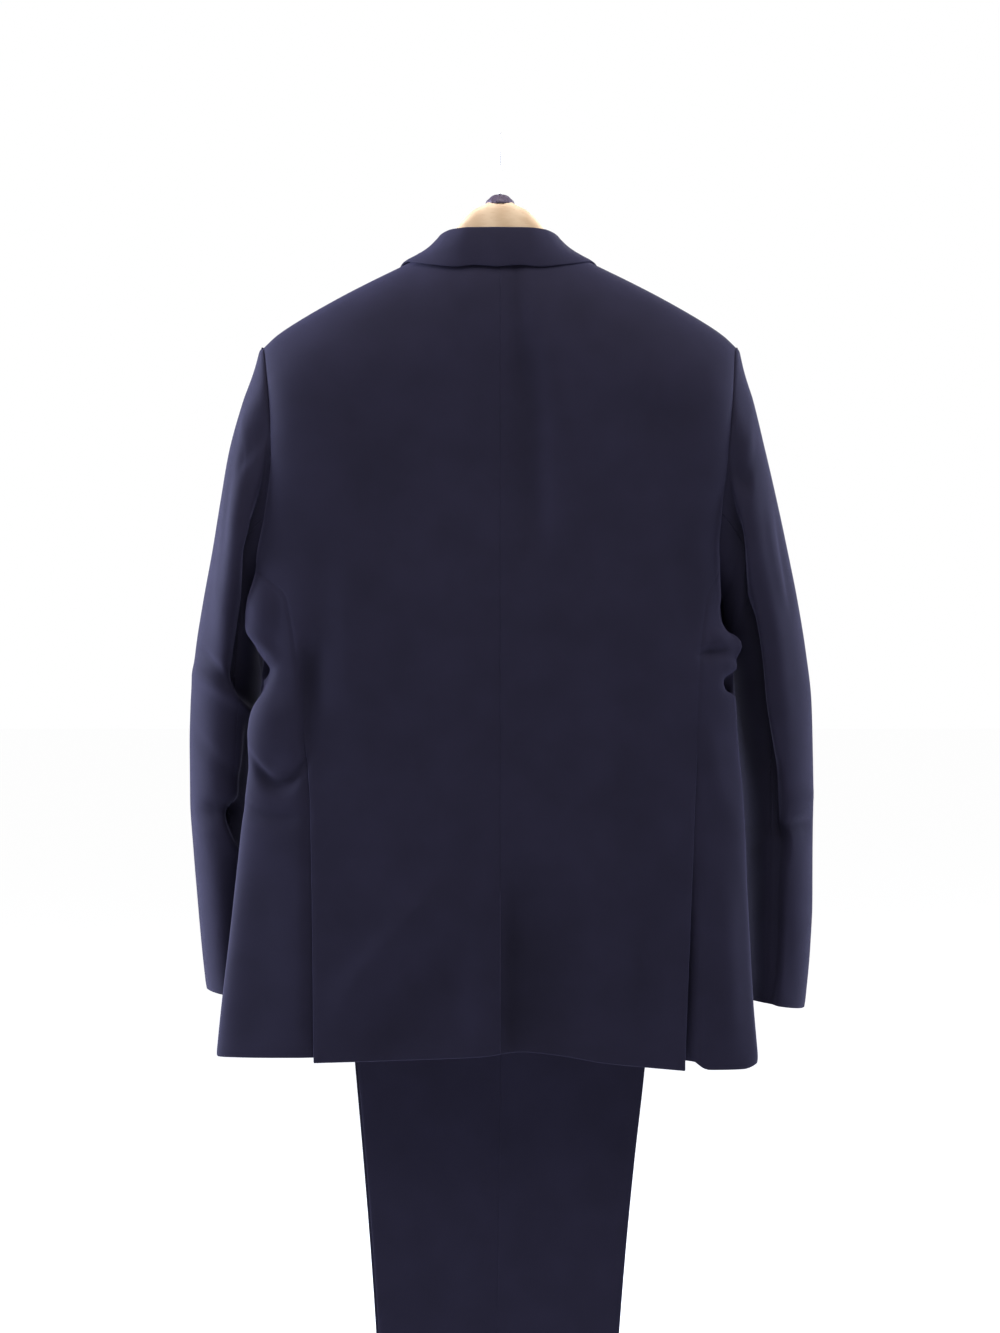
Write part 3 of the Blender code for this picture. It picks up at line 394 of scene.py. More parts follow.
def creases(rows, across, down):
    """How far the creases of a table lift the cloth there."""
    total = np.zeros(np.broadcast(across, down).shape)
    for start_x, start_z, end_x, end_z, bow, width, tall, skew in rows:
        dx, dz = end_x - start_x, end_z - start_z
        length = math.hypot(dx, dz)
        along = ((across - start_x) * dx + (down - start_z) * dz) / length**2
        off = ((across - start_x) * dz - (down - start_z) * dx) / length
        off = off - bow * 4 * along * (1 - along)
        reach = width * np.where(off > 0, 1 - skew, 1 + skew)
        fade = ease(*CREASE_FADE, along) * ease(*CREASE_FADE, 1 - along)
        total = total + tall * np.exp(-((off / reach) ** 2)) * fade
    return total


# Across is millimetres round from centre back and down the level, on the body's two sides.
BODY_CREASES = {
    LEFT: numbers("""
        # the bag of cloth under the arm: its upper lobe, the notch, and the lobe below it
        232 -384 233 -476 0 14 3.8 0
        240 -462 212 -494 0 6 3.6 0.2
        216 -507 262 -501 0 9 -7 -0.3
        222 -520 262 -530 0 12 -5 0
        207 -534 207 -588 0 18 4.6 0
        181 -490 182 -580 -2 7 -6 -0.4
        180 -588 234 -589 23 8 -5.4 -0.35
        # soft ones on the back beside it
        174 -480 172 -550 -2 11 -3.6 0
        164 -410 168 -620 4 18 -2.6 0
        148 -430 156 -560 3 16 1.4 0
        183 -642 250 -636 3 8 -3 -0.3
        226 -690 236 -868 3 30 -3.6 0
        # under the shoulder and down the middle
        190 -262 120 -330 8 20 -1.6 0
        60 -300 120 -440 -8 26 -1.6 0
        156 -832 58 -714 5 20 4.6 0.2
        112 -868 34 -762 4 24 -4 0
        20 -868 16 -720 0 16 2.4 0
        # the front: drawn from the armhole to the button, and hanging below it
        332 -420 420 -500 -6 14 -2 0.1
        330 -470 430 -520 -5 12 1.6 0.1
        372 -700 384 -866 4 18 2.2 0
        410 -700 424 -866 -4 18 -2 0
        470 -560 420 -690 6 18 -1.6 0
        300 -600 312 -860 5 20 -2.2 0
        268 -660 276 -866 -5 16 2 0
    """),
    RIGHT: numbers("""
        # the pinched fold under the arm and the notch below it
        186 -491 224 -484 0 5 -5 -0.4
        214 -454 246 -456 0 8 -3.4 0
        204 -476 244 -478 0 8 5 -0.2
        214 -502 240 -502 0 9 3 0
        214 -521 250 -522 0 7 -7 0.2
        196 -560 214 -640 4 12 2 0
        # the middle of the back: a soft fold down from the neck, and one that kinks the hem
        15 -226 19 -330 1 7 -2.4 0
        24 -290 30 -420 0 15 -4.2 0
        44 -260 54 -420 -2 14 2.2 0
        11 -868 13 -700 0 34 -7 -0.75
        6 -868 10 -740 0 9 -2.6 0
        166 -392 174 -486 -4 16 -2.4 0.1
        190 -262 130 -322 -8 20 -1.4 0
        96 -868 82 -640 6 24 2 0
        128 -868 142 -700 -5 18 -2 0
        152 -868 150 -760 0 12 1.4 0
        206 -700 216 -866 -4 14 2 0
        236 -690 240 -866 3 14 -2 0
        # the front
        332 -430 420 -500 -6 14 -2 0.1
        336 -480 440 -528 -5 12 1.5 0.1
        366 -690 376 -866 -4 18 -2 0
        404 -700 412 -866 4 18 2.2 0
        462 -570 418 -680 6 18 -1.4 0
        296 -600 300 -860 5 20 2 0
    """),
}
# Across is millimetres round the sleeve from its outer side, less than 0 towards the back.
SLEEVE_CREASES = {
    LEFT: numbers("""
        -62 -208 -49 -268 0 6 -2.6 0.3
        -46 -204 -32 -262 0 9 2 0
        -30 -300 -46 -430 6 12 1.6 0.1
        # the back is drawn out to a ridge, and is flat from its outer side to there
        -70 -236 -68 -478 0 19 9 0
        # the elbow: the forearm comes out from under the upper sleeve
        -16 -490 -88 -482 5 8 -3.4 0.2
        -12 -508 -128 -498 5 9 3.6 0
        -30 -562 -112 -578 -4 12 -2.2 0.2
        -44 -634 -108 -606 0 10 -5.5 0.2
        -30 -662 -110 -650 5 14 2.4 0
        -84 -670 -74 -800 3 14 -1.8 0
        20 -470 90 -520 -6 12 -3 0.2
        30 -500 110 -548 -6 12 2.4 0.2
        26 -590 100 -610 5 12 -2 0.1
        60 -640 66 -790 0 16 1.8 0
        118 -330 118 -500 0 17 9 0
    """),
    RIGHT: numbers("""
        -71 -220 -57 -276 0 5 -3 0.3
        -58 -206 -40 -262 0 9 2.2 0
        -42 -330 -45 -424 3 8 1.8 0.2
        -28 -352 -36 -440 3 7 -1.2 0.2
        -62 -300 -66 -560 0 12 2.4 0
        # the elbow: the upper sleeve sags over the forearm
        -78 -612 -16 -626 0 10 3 0
        -80 -638 -16 -652 0 8 -6 -0.4
        -70 -690 -50 -820 4 14 -1.8 0
        -104 -700 -96 -800 3 14 1.6 0
        16 -480 96 -530 -6 12 -3 0.2
        24 -512 112 -560 -6 12 2.4 0.2
        40 -640 60 -800 4 16 -1.8 0
        118 -190 118 -345 0 17 10 0
    """),
}
# Where the back of each sleeve turns sharply in towards the body, and how deep it goes there.
SLEEVE_RIDGE = {
    LEFT: Table("""
        outer_z across depth
        -206 -58 0; -216 -62 4; -228 -72 8; -250 -79 13; -306 -77 15; -370 -75 16; -432 -72 16
        -474 -70 15; -486 -78 8; -498 -96 0; -536 -96 5; -600 -92 7; -628 -74 11; -646 -80 7; -668 -99 3
        -813 -99 3
    """),
    RIGHT: Table("""
        outer_z across depth
        -206 -62 0; -222 -70 5; -240 -75 12; -300 -75 16; -376 -80 17; -428 -81 17; -500 -81 17
        -556 -74 17; -584 -67 16; -632 -64 15; -652 -56 10; -690 -62 8; -831 -66 6
    """),
}
# Across is x and down is z, on the folded legs.
LEG_CREASES = numbers("""
    -60 -700 -52 -1220 4 16 0.9 0
    -18 -820 -26 -1220 -3 12 -0.8 0
    34 -760 28 -1220 3 14 0.9 0
    78 -860 66 -1220 -3 12 -0.8 0
    -108 -280 40 -360 10 16 -0.8 0
    110 -280 -20 -380 -10 16 -0.8 0
""")
TURN_IN = 11.0  # the cloth's way from the ridge to full depth
INNER_SIDE = -139.0  # across there


def turned_in(side, across, outer_z):
    """How far the sleeve's back lies in past its ridge. It comes out again before the inner side."""
    ridge = SLEEVE_RIDGE[side].at("across", outer_z)
    sunk = SLEEVE_RIDGE[side].at("depth", outer_z) * ease(ridge, ridge - TURN_IN, across)
    return -sunk * np.clip((across - INNER_SIDE) / (ridge - TURN_IN - INNER_SIDE), 0, 1)


# ---- shells of cloth
EDGE_ROLL = Sizes(depth=0.4, width=2.2)  # how an edge turns in towards the seam or hem behind it
EDGE_LOOP = 0.14  # the last loop's distance from a panel's edge, as a share of a step
RIM_BULGE = 0.65  # how far a shell's edge is rounded out, into the seam that it meets


def steps_along(points, axis):
    return np.linalg.norm(np.diff(points, axis=axis), axis=-1)


def grid_normals(points, flip):
    """The outward direction at each point of a grid of rows and columns."""
    down, across = np.gradient(points, axis=0), np.gradient(points, axis=1)
    return unit(np.cross(down, across)) * (-1 if flip else 1)


def from_edges(points):
    """How far each point lies from the nearest edge of its panel, along the rows and columns."""
    distances = []
    for axis in (0, 1):
        step = steps_along(points, axis)
        before = np.concatenate([np.zeros_like(step.take([0], axis)), np.cumsum(step, axis)], axis)
        distances += [before, before.take([-1], axis) - before]
    return np.minimum.reduce(distances)


def even_shares(count, ends=0.0):
    """Shares from 0 to 1, drawn closer together towards both ends by up to ends. One more lies near
    each end, which keeps the shading of the panel's edge narrow."""
    share = np.linspace(0, 1, count + 1)
    share = share - ends * np.sin(2 * math.pi * share) / (2 * math.pi)
    near = EDGE_LOOP * share[1]
    return np.concatenate([[0, near], share[1:-1], [1 - near, 1]])


def shell(name, shares, place, wall=CLOTH, flip=False, roll=True):
    """A thin shell of cloth: place(u, v) gives its outer face and what its folds lift that by, and
    its wall goes inwards with rounded edges."""
    across, down = shares
    u, v = np.meshgrid(across, down)
    rows, columns = u.shape
    flat, lift = place(u.ravel(), v.ravel())
    flat = flat.reshape(rows, columns, 3)
    # the folds' lift is also kept on the mesh, for the wool's painted shade in the folds
    folds = np.broadcast_to(lift, rows * columns)
    lift = folds.reshape(rows, columns)
    if roll:
        lift = lift - EDGE_ROLL.depth * np.exp(-((from_edges(flat) / EDGE_ROLL.width) ** 2))
    outer = flat + grid_normals(flat, flip) * lift[..., None]
    inwards = -grid_normals(outer, flip) * wall
    index = np.arange(rows * columns).reshape(rows, columns)
    edge, inside = (
        np.concatenate([grid[0, :-1], grid[:-1, -1], grid[-1, :0:-1], grid[:0:-1, 0]])
        for grid in (index, np.pad(index[1:-1, 1:-1], 1, mode="edge"))
    )
    outer, inwards = outer.reshape(-1, 3), inwards.reshape(-1, 3)
    outwards = unit(outer[edge] - outer[inside])
    sideways = outwards - inwards[edge] * (outwards * inwards[edge]).sum(-1, keepdims=True) / wall**2
    rim = outer[edge] + inwards[edge] / 2 + unit(sideways) * RIM_BULGE
    points = np.concatenate([outer, outer + inwards, rim])
    inner_index, rim_index = index + rows * columns, 2 * rows * columns + np.arange(len(edge))
    faces = [quads(index), quads(inner_index)[:, ::-1]]
    following = np.roll(np.arange(len(edge)), -1)
    inner_edge = inner_index.ravel()[edge]
    faces.append(np.stack([edge, edge[following], rim_index[following], rim_index], -1))
    faces.append(np.stack([rim_index, rim_index[following], inner_edge[following], inner_edge], -1))
    faces = np.concatenate(faces)
    if flip:
        faces = faces[:, ::-1]
    length, width = (steps_along(flat, axis).sum(axis).max() for axis in (0, 1))
    weave = np.stack([u.ravel() * width, -v.ravel() * length], -1) * MM
    weave, folds = (np.concatenate([each, each, each[edge]]) for each in (weave, folds))
    return mesh_object(name, points, faces.tolist(), weave, folds)


def quads(index):
    a, b, c, d = index[:-1, :-1], index[1:, :-1], index[1:, 1:], index[:-1, 1:]
    return np.stack([a, b, c, d], -1).reshape(-1, 4)


def closed_rings(count, around):
    """The numbers of the points in a stack of rings, each with its first one again at its end."""
    index = np.arange(count * around).reshape(count, around)
    return np.concatenate([index, index[:, :1]], 1)


def add_object(name, data):
    thing = bpy.data.objects.new(name, data)
    bpy.context.scene.collection.objects.link(thing)
    return thing


def mesh_object(name, points, faces, weave=None, folds=None):
    """A smooth object from points in millimetres. weave is where each lies on the flat cloth, and
    folds what the cloth's folds lift it by."""
    mesh = bpy.data.meshes.new(name)
    mesh.from_pydata((points * MM).tolist(), [], faces)
    if weave is not None:
        layer = mesh.uv_layers.new(name="weave")
        corner = np.zeros(len(mesh.loops), dtype=np.int32)
        mesh.loops.foreach_get("vertex_index", corner)
        layer.data.foreach_set("uv", weave[corner].astype(np.float32).ravel())
        lifts = mesh.attributes.new("folds", "FLOAT", "POINT")
        lifts.data.foreach_set("value", folds.astype(np.float32))
    mesh.shade_smooth()
    return add_object(name, mesh)


def dress(piece, slot, material, *nodes):
    """Puts a piece on the suit in place of its nodes, with the material given. slot is not used."""
    piece.data.materials.append(material)
    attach(piece, "root")
    if nodes:
        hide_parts(*nodes)


# Each panel's steps across and down, its flat width and length, and the share of those that it fills.
PANELS = {
    "back": (64, 190, 232, 758, 0.86),
    "side": (64, 150, 178, 486, 0.86),
    "front": (64, 190, 250, 765, 0.74),
    "lapel": (26, 96, 76, 336, 0.72),
    "collar": (150, 40, 330, 84, 0.86),
    "pocket_flap": (40, 20, 132, 52, 0.97),
    "breast_welt": (30, 10, 92, 22, 0.98),
    "sleeve_top": (72, 160, 178, 640, 0.86),
    "sleeve_under": (40, 160, 104, 500, 0.86),
    "trouser_front": (72, 110, 300, 960, 0.94),
    "trouser_back": (72, 110, 330, 960, 0.94),
    "waistband": (60, 8, 380, 38, 1.0),
}


def sew(kind, side, place, rests_on="hanger_arms", ends=0.0, **options):
    """A panel of the suit's cloth in place of its node. side is None where there is only one."""
    node = f"{kind}_{NAMES[side]}" if side else kind
    across, down, width, length, share = PANELS[kind]
    shares = even_shares(across, ends), even_shares(down)
    piece = shell(f"cloth_{node}", shares, place, **{"flip": side == LEFT, **options})
    dress(piece, "suit_cloth", WOOL, node)


# ---- the jacket's panels
def hang(first_drop, v):
    """Levels down a panel that starts first_drop under the shoulder line. They are bunched where
    the cloth turns over the shoulder, and even from there to the hem."""
    share = TURN_ROWS / ROWS
    start = np.arccos(1 - first_drop / SHOULDER_DROP)
    turn = lerp(start, TURN_END, np.clip(v / share, 0, 1))
    turned_level = SHOULDER_TIP - SHOULDER_DROP * (1 - np.cos(turn))
    even = lerp(EVEN_FROM, HEM, np.clip((v - share) / (1 - share), 0, 1))
    return np.where(v < share - 1e-6, turned_level, even)


def hem_lifted(level, lift):
    """The level with the hem's own rise or drop worked in over the cloth just above it."""
    return level + lift * ease(HEM + HEM_REACH, HEM, level)


SEAM_DROP = SHOULDER_DROP * (1 - math.cos(2 * SEAM / 60.0))  # puts a top edge just off the ridge


def lying(side, where):
    """place for a piece whose where(u, v) is a level, a way round and a distance out of the body."""

    def place(u, v):
        level, round_mm, out = where(u, v)
        return body_point(side, level, round_mm, out), creases(BODY_CREASES[side], round_mm, level)

    return place


BUNCH = Sizes(back=1.5, front=1.4)  # draws a panel's columns together towards its side seam
SIDE_COLUMNS = 5  # of the side panel past its underlap
EVEN_COLUMNS = 0.35  # how far down the side panel its columns have evened out from the armhole's


def back_panel(side):
    def where(u, v):
        u = 1 - (1 - u) ** BUNCH.back
        neck_x = u * half_width(side, SHOULDER_TIP)
        neck_drop = SHOULDER.at("height", neck_x) - BACK_NECK.at("height", neck_x)
        first = np.where(neck_x < BACK_NECK.cells[-1, 0], np.maximum(neck_drop, SEAM_DROP), SEAM_DROP)
        level = hem_lifted(hang(first, v), BACK_HEM.at("lift", side * u * BACK_HEM.cells[-1, 0]))
        return level, lerp(SEAM, seam_round(side, level, False) - SEAM, u), 0.0

    sew("back", side, lying(side, where))


def side_panel(side):
    """A side body. Its first columns are the underlap: a strip that is drawn together above the vent
    and stands out behind the back's edge below it."""
    laps = UNDERLAP.columns
    columns = laps + SIDE_COLUMNS
    vent_top = VENT_TOP[side]

    def lap_edge(column, start, level):
        share = np.minimum(column, laps) / laps
        shut = start + SEAM + laps * UNDERLAP.shut_step * share
        spread = start + lerp(-UNDERLAP.width, UNDERLAP.spread_edge, share)
        return lerp(shut, spread, ease(vent_top + TUCK.spread, vent_top - TUCK.spread, level))

    def where(u, v):
        column = u * columns
        across = np.clip((column - laps) / (columns - laps), 0, 1)
        top_level, top_round = armhole(side, lerp(BACK_CORNER, FRONT_CORNER, across))
        back_round, front_round = (seam_round(side, top_level, front) for front in (False, True))
        top_across = (top_round - back_round) / np.maximum(front_round - back_round, 1)
        lift = SIDE_HEM[side].at("lift", lerp(*SIDE_HEM_SPAN, across))
        level = hem_lifted(lerp(top_level, HEM, v), lift)
        share = lerp(np.clip(top_across, 0, 1), across, ease(0, EVEN_COLUMNS, v))
        start, end = seam_round(side, level, False), seam_round(side, level, True) - SEAM
        body = lerp(start + UNDERLAP.past_edge, end, share)
        round_mm = np.where(column < laps - 0.01, lap_edge(column, start, level), body)
        below = ease(vent_top + TUCK.start, vent_top + TUCK.done, level)
        tucked = below * (1 - ease(TUCK.full, TUCK.out, round_mm - start))
        gape = CLOTH + lerp(TUCK.gap, VENT_GAPE[side], ease(vent_top, HEM, level))
        return level, round_mm, -tucked * gape

    sew("side", side, lying(side, where))


FIRST_GUESS = 30.0  # of where the roll line is, for the steps that home in on it


def front_edge_out(level):
    """How far out from the centre line the front panel's inner edge is at a level."""
    out = FIRST_GUESS
    for _ in range(4):
        out = ROLL_LINE.at("out", height(np.maximum(out, 0), level))
    return np.where(level > BREAK_POINT, out, FRONT_EDGE.at("out", level))


def lap_inset(side, out_x):
    """The right front lies behind the left one where they overlap."""
    return 0 if side == LEFT else LAP.inset * (1 - ease(LAP.full, LAP.end, out_x))


def front_panel(side):
    def where(u, v):
        u = u ** BUNCH.front
        straight = hang(SEAM_DROP, v)
        level = hem_lifted(straight, SIDE_HEM[side].at("lift", lerp(*FRONT_HEM_SPAN, u)))
        inner = round_at_x(side, level, front_edge_out(straight), True)
        round_mm = lerp(seam_round(side, level, True) + SEAM, inner, u)
        out_x = side * on_body(side, level, round_mm)[..., 0]
        return level, round_mm, -lap_inset(side, out_x)

    sew("front", side, lying(side, where))


# ---- lapels, collar and pockets
# Each lapel by the way up from the break point: its width, and how far its edge lies above its fold.
LAPEL = Table("""
    up width rise
    0 4 0; 0.084 26 4; 0.235 50 8; 0.506 67 10; 0.777 72 4; 1 64 -16
""")
LAPEL_TOP = -178.5  # where the gorge seam meets the roll line
LAPEL_FOOT = 6.0  # from the break point up to the lapel's lower end
LAPEL_STEP = 0.3  # from the roll line out to the fold
# The notch's corner, how far it lies below a straight top, and how far up the lapel that starts.
GORGE = Sizes(across=0.34, dip=6.5, start=0.85)
LAPEL_ENDS = 0.4  # how far its columns are drawn together towards its fold and its edge
LAPEL_ROLL = Sizes(out=3.0, start=0.25, full=0.8)  # how the folded edge stands off the front


def lapel(side):
    def where(u, v):
        up = 1 - v
        z = lerp(BREAK_POINT + LAPEL_FOOT, LAPEL_TOP, up)
        out_x = ROLL_LINE.at("out", z) + LAPEL_STEP + LAPEL.at("width", up) * u
        notch = np.interp(u, (0, GORGE.across, 1), (0, 1, 0)) * ease(GORGE.start, 1, up)
        high = z + LAPEL.at("rise", up) * u - GORGE.dip * notch
        rolled = ease(LAPEL_ROLL.start, LAPEL_ROLL.full, up) * (1 - u) ** 2
        lift = ON_CLOTH + LAPEL_ROLL.out * rolled
        level = level_at(out_x, high)
        return level, round_at_x(side, level, out_x, True), lift - lap_inset(side, out_x)

    sew("lapel", side, lying(side, where), ends=LAPEL_ENDS, flip=side == RIGHT)


COLLAR_SHIFT = -2.6  # the whole collar sits a little to the wearer's left
COLLAR_FOLD = 3.3  # half the thickness of the collar where it folds over
# The collar from centre back round to the notch, as x, y and height: the stand's lower edge, the
# fold and the middle of the fall. The fall's edge lies on the jacket: its x and its degrees over
# the shoulder line, behind it where they are less than 0.
COLLAR = Table("""
    way base_x base_y base_z fold_x fold_y fold_z mid_x mid_y mid_z edge_x edge_turn
    0 0 -44.8 -117.2 0 -44 -91.6 0 -54.5 -109 0 -56.9
    0.15 31 -41.2 -117.2 26 -42 -91.6 31 -51.5 -109 34 -51.8
    0.3 57 -28.6 -116.6 41 -32 -92 54 -38.5 -109 64 -37.2
    0.42 70.5 -14 -114.6 50 -16 -94 65 -20 -108 82 -19.2
    0.54 75.5 2 -112.6 55 3 -97 73 3 -108.6 91 0.5
    0.66 74.5 17 -116.5 60 20 -103.5 80 25.5 -115.5 98 20
    0.82 70.6 42 -143 64 48 -133 84 50 -146 106 39.5
    1 64.4 56 -176 63 63.5 -172 88 63 -187 111 52.4
""")


def over_shoulder(x, turn, out):
    """The point so many radians over the shoulder line at x, moved out."""
    across = np.where(turn > 0, BODY.at("front", SHOULDER_TIP), BODY.at("back", SHOULDER_TIP))
    y = ARMHOLE.y + across * np.sin(turn)
    z = SHOULDER.at("height", x) - SHOULDER_DROP * (1 - np.cos(turn))
    return stack(x, y, z) + out * unit(stack(0, SHOULDER_DROP * np.sin(turn), across * np.cos(turn)))


def through_points(lines, row):
    """A smooth curve down the lines, read at a row number."""
    first = np.clip(row.astype(int), 0, len(lines) - 2)
    index = np.arange(len(row))
    share = (row - first)[:, None]
    before, start = lines[np.maximum(first - 1, 0), index], lines[first, index]
    end, after = lines[first + 1, index], lines[np.minimum(first + 2, len(lines) - 1), index]
    return hermite(start, (end - before) / 2, end, (after - start) / 2, share)


def collar():
    def place(u, v):
        side = np.where(u < 0.5, LEFT, RIGHT)
        way = np.abs(2 * u - 1)

        def spot(name):
            return stack(*(COLLAR.at(f"{name}_{axis}", way) for axis in "xyz"))

        base, fold, mid = spot("base"), spot("fold"), spot("mid")
        lift = LAID_ON + COLLAR_CLOTH + 2 * EASED
        edge = over_shoulder(COLLAR.at("edge_x", way), np.radians(COLLAR.at("edge_turn", way)), lift)
        down = np.array([0, 0, -COLLAR_FOLD])
        over = COLLAR_FOLD * unit((edge - base) * (1, 1, 0))
        lines = np.array([base, fold + down, fold + over, fold + 2 * over + down, mid, edge])
        point = through_points(lines, v * (len(lines) - 1))
        point[..., 0] = side * point[..., 0] + COLLAR_SHIFT * (1 - way)
        return point, 0.0

    sew("collar", None, place, wall=COLLAR_CLOTH)


POCKET = Sizes(level=-640, slant=8, near=66, length=132, height=52, corner=7, tight=6)
WELT = Sizes(near=102, length=88, z=-322, slant=10, height=22)


def pocket_flap(side):
    def where(u, v):
        top = POCKET.level - POCKET.slant * (1 - u)
        corner = POCKET.corner * np.abs(2 * u - 1) ** POCKET.tight * v
        level = top - (POCKET.height - corner) * v
        near = round_at_x(side, level, POCKET.near, True)
        return level, near - POCKET.length * (1 - u), ON_CLOTH

    sew("pocket_flap", side, lying(side, where))


def breast_welt():
    def where(u, v):
        z = WELT.z + WELT.slant * (1 - u) - WELT.height * v
        out_x = WELT.near + WELT.length * u
        level = level_at(out_x, z)
        return level, round_at_x(LEFT, level, out_x, True), ON_CLOTH

    sew("breast_welt", None, lying(LEFT, where))


# ---- sleeves
# Each row is one oval of the sleeve, from its outer point to its inner point, with y of its middle.
SLEEVE = {
    LEFT: Table("""
        outer_z outer_x inner_x inner_z y half_depth
        -201 226.5 228.5 -434 2 46.5
        -226 233 229.6 -438 2.5 49
        -250 243 230.2 -443 3 51
        -297 257 231 -456 6 54
        -345 266 230.5 -474 12 54
        -392 274.4 230.5 -492 20 54
        -440 284 228.5 -512 29 55
        -487 292.1 229 -545 37 56
        -535 297.4 230 -582 44 57
        -582 299 232 -620 50 57
        -630 299 232.5 -660 55 57
        -680 296.2 232 -702 60 56
        -728 292.6 231 -744 64 55
        -776 288.6 229 -786 67 54
        -813.6 284.6 226 -822 68 53
    """),
    RIGHT: Table("""
        outer_z outer_x inner_x inner_z y half_depth
        -201 226 209.5 -434 2 46.5
        -226 231 211.5 -438 2 49
        -250 239.7 212.5 -443 2.5 51
        -297 251.9 213.5 -456 5 54
        -345 263.5 215 -470 10 55
        -392 274.2 220 -486 17 55
        -440 284.4 223 -508 24 56
        -487 292.6 225 -542 30 58
        -535 298.6 227 -580 35 59
        -582 300.4 230 -620 40 59
        -630 301.4 231.5 -662 45 58
        -677 301.2 232 -704 50 57
        -727 301.4 232 -748 54 56
        -776 299.4 232 -788 57 55
        -831 294.5 229 -820 59 54
    """),
}
HEAD_DROP = 44.0  # the height over which the armhole's shape passes into the ovals
HEAD_FULLNESS = Sizes(out=2.2, drop=14.0)  # how far and where a sleeve's head stands out
TIGHTEST = 20.0  # least radius that the seams' edges are laid for
GIRTH = 45.0  # millimetres of cloth to a radian round a sleeve


def sleeve_point(side, outer_z, angle):
    """The sleeve's outer face: angle 0 is the outer side, pi / 2 the front and pi the inner side."""
    table = SLEEVE[side]
    outer_x, inner_x, inner_z, y, half_depth = (table.at(name, outer_z) for name in table.names[1:])
    middle = stack((outer_x + inner_x) / 2, y, (outer_z + inner_z) / 2)
    half = stack((outer_x - inner_x) / 2, 0, (outer_z - inner_z) / 2)
    oval = middle + half * np.cos(angle)[..., None]
    oval[..., 1] += half_depth * np.sin(angle)
    edge = body_point(side, *armhole(side, angle))
    edge[..., 0] = np.abs(edge[..., 0]) + ARMHOLE_GAP
    point = lerp(edge, oval, ease(SHOULDER_TIP, SHOULDER_TIP - HEAD_DROP, outer_z)[..., None])
    point[..., 0] *= side
    return point


TURN_STEP = 0.01  # radians each way to the points that the direction round a sleeve is read from


def sleeve_seam_turn(side, outer_z, angle):
    """How far round the sleeve a seam's edge stays from its seam line, to lie square off it."""
    low = np.minimum(outer_z, SHOULDER_TIP - 1)
    across = sleeve_point(side, low, angle + TURN_STEP) - sleeve_point(side, low, angle - TURN_STEP)
    along = unit(sleeve_point(side, low + 1, angle) - sleeve_point(side, low - 1, angle))
    square = np.linalg.norm(np.cross(across, along), axis=-1) / (2 * TURN_STEP)
    return SLEEVE_SEAM / np.maximum(square, TIGHTEST)


def sleeve(side, kind):
    middle, half = (0, math.pi - UNDER_SLEEVE) if kind == "top" else (math.pi, UNDER_SLEEVE)
    cuff = SLEEVE[side].cells[0, 0]

    def place(u, v):
        outer_z = lerp(SHOULDER_TIP, cuff, ease(0, 2, v) * 2)
        gap = sleeve_seam_turn(side, outer_z, middle + half * np.sign(u - 0.5))
        angle = middle + (half - gap) * (2 * u - 1)
        turn = (angle + math.pi) % (2 * math.pi) - math.pi
        past_seam = (SHOULDER_TIP - outer_z) / HEAD_FULLNESS.drop
        full = HEAD_FULLNESS.out * past_seam * np.exp(1 - past_seam) * np.clip(np.cos(angle), 0, 1)
        lift = full + creases(SLEEVE_CREASES[side], turn * GIRTH, outer_z)
        lift = lift + turned_in(side, turn * GIRTH, outer_z)
        return sleeve_point(side, outer_z, angle), lift

    sew(f"sleeve_{kind}", side, place)


# ---- trousers
LEG = Table("""
    z front back
    -223 -184 196; -300 -184 200; -400 -178 196; -505 -168 171; -600 -159 161; -700 -150 153
    -800 -142 145; -892 -134 136.5; -972 -127 127.5; -1060 -120 119; -1150 -114 112
    -1225 -110 107.5
""")
OUTSEAM = Table("z x; -223 -8; -505 4; -1225 -4")
CREASE_BUNCH = 0.09  # draws a leg's columns together at the two seams and the crease
INNER_FROM = 0.62  # the way round a leg panel from where it is all the inner layer
FLATNESS = Sizes(width=0.9, thickness=0.35)  # how flat a leg is pressed: 1 is a round one


def leg_panel(side, part):
    """One folded half of a leg, from the outseam round the crease to the inseam. Above the crotch
    the inner layer stops at the rise seam. The wearer's left leg lies behind, at -Y."""
    front = part == "front"

    def place(u, v):
        u = u + CREASE_BUNCH * np.sin(2 * math.pi * u)
        crease_near = 1 - np.abs(2 * u - 1)
        rise = lerp(RISE_END, CROTCH, ease(0.5, 1, u) ** 0.5)
        top = lerp(WAIST_TOP - WAISTBAND_HEIGHT - 2 * SEAM, rise, ease(0.5, INNER_FROM, u))
        z = lerp(top, TROUSER_HEM, v)
        edge = LEG.at(part, z)
        if side == RIGHT and front:
            edge = edge - FAR_LEG_SLIP.out * ease(FAR_LEG_SLIP.start, FAR_LEG_SLIP.full, z)
        seam = OUTSEAM.at("x", z) + (-SEAM if front else SEAM)
        share = np.sin(math.pi / 2 * np.clip(crease_near, 0, 1)) ** FLATNESS.width
        x = lerp(seam, edge, share)
        above = ease(CROTCH, RISE_END, z)
        plane = lerp(LEG_PLANE, SEAM, above)
        hip = lerp(WAISTBAND_Y, LEG_PLANE + LEG_HALF, ease(WAIST_TOP, CROTCH, z))
        half = lerp(LEG_HALF, hip - SEAM, above)
        flat = rounded(np.cos(math.pi * u), FLATNESS.thickness)
        y = side * np.maximum(plane + half * flat, SEAM) + creases(LEG_CREASES, x, z)
        return stack(x, y, z), 0.0

    options = {"wall": TROUSER_CLOTH, "flip": front == (side == LEFT), "roll": False}
    sew(f"trouser_{part}", side, place, rests_on=f"waistband_{NAMES[side]}", **options)


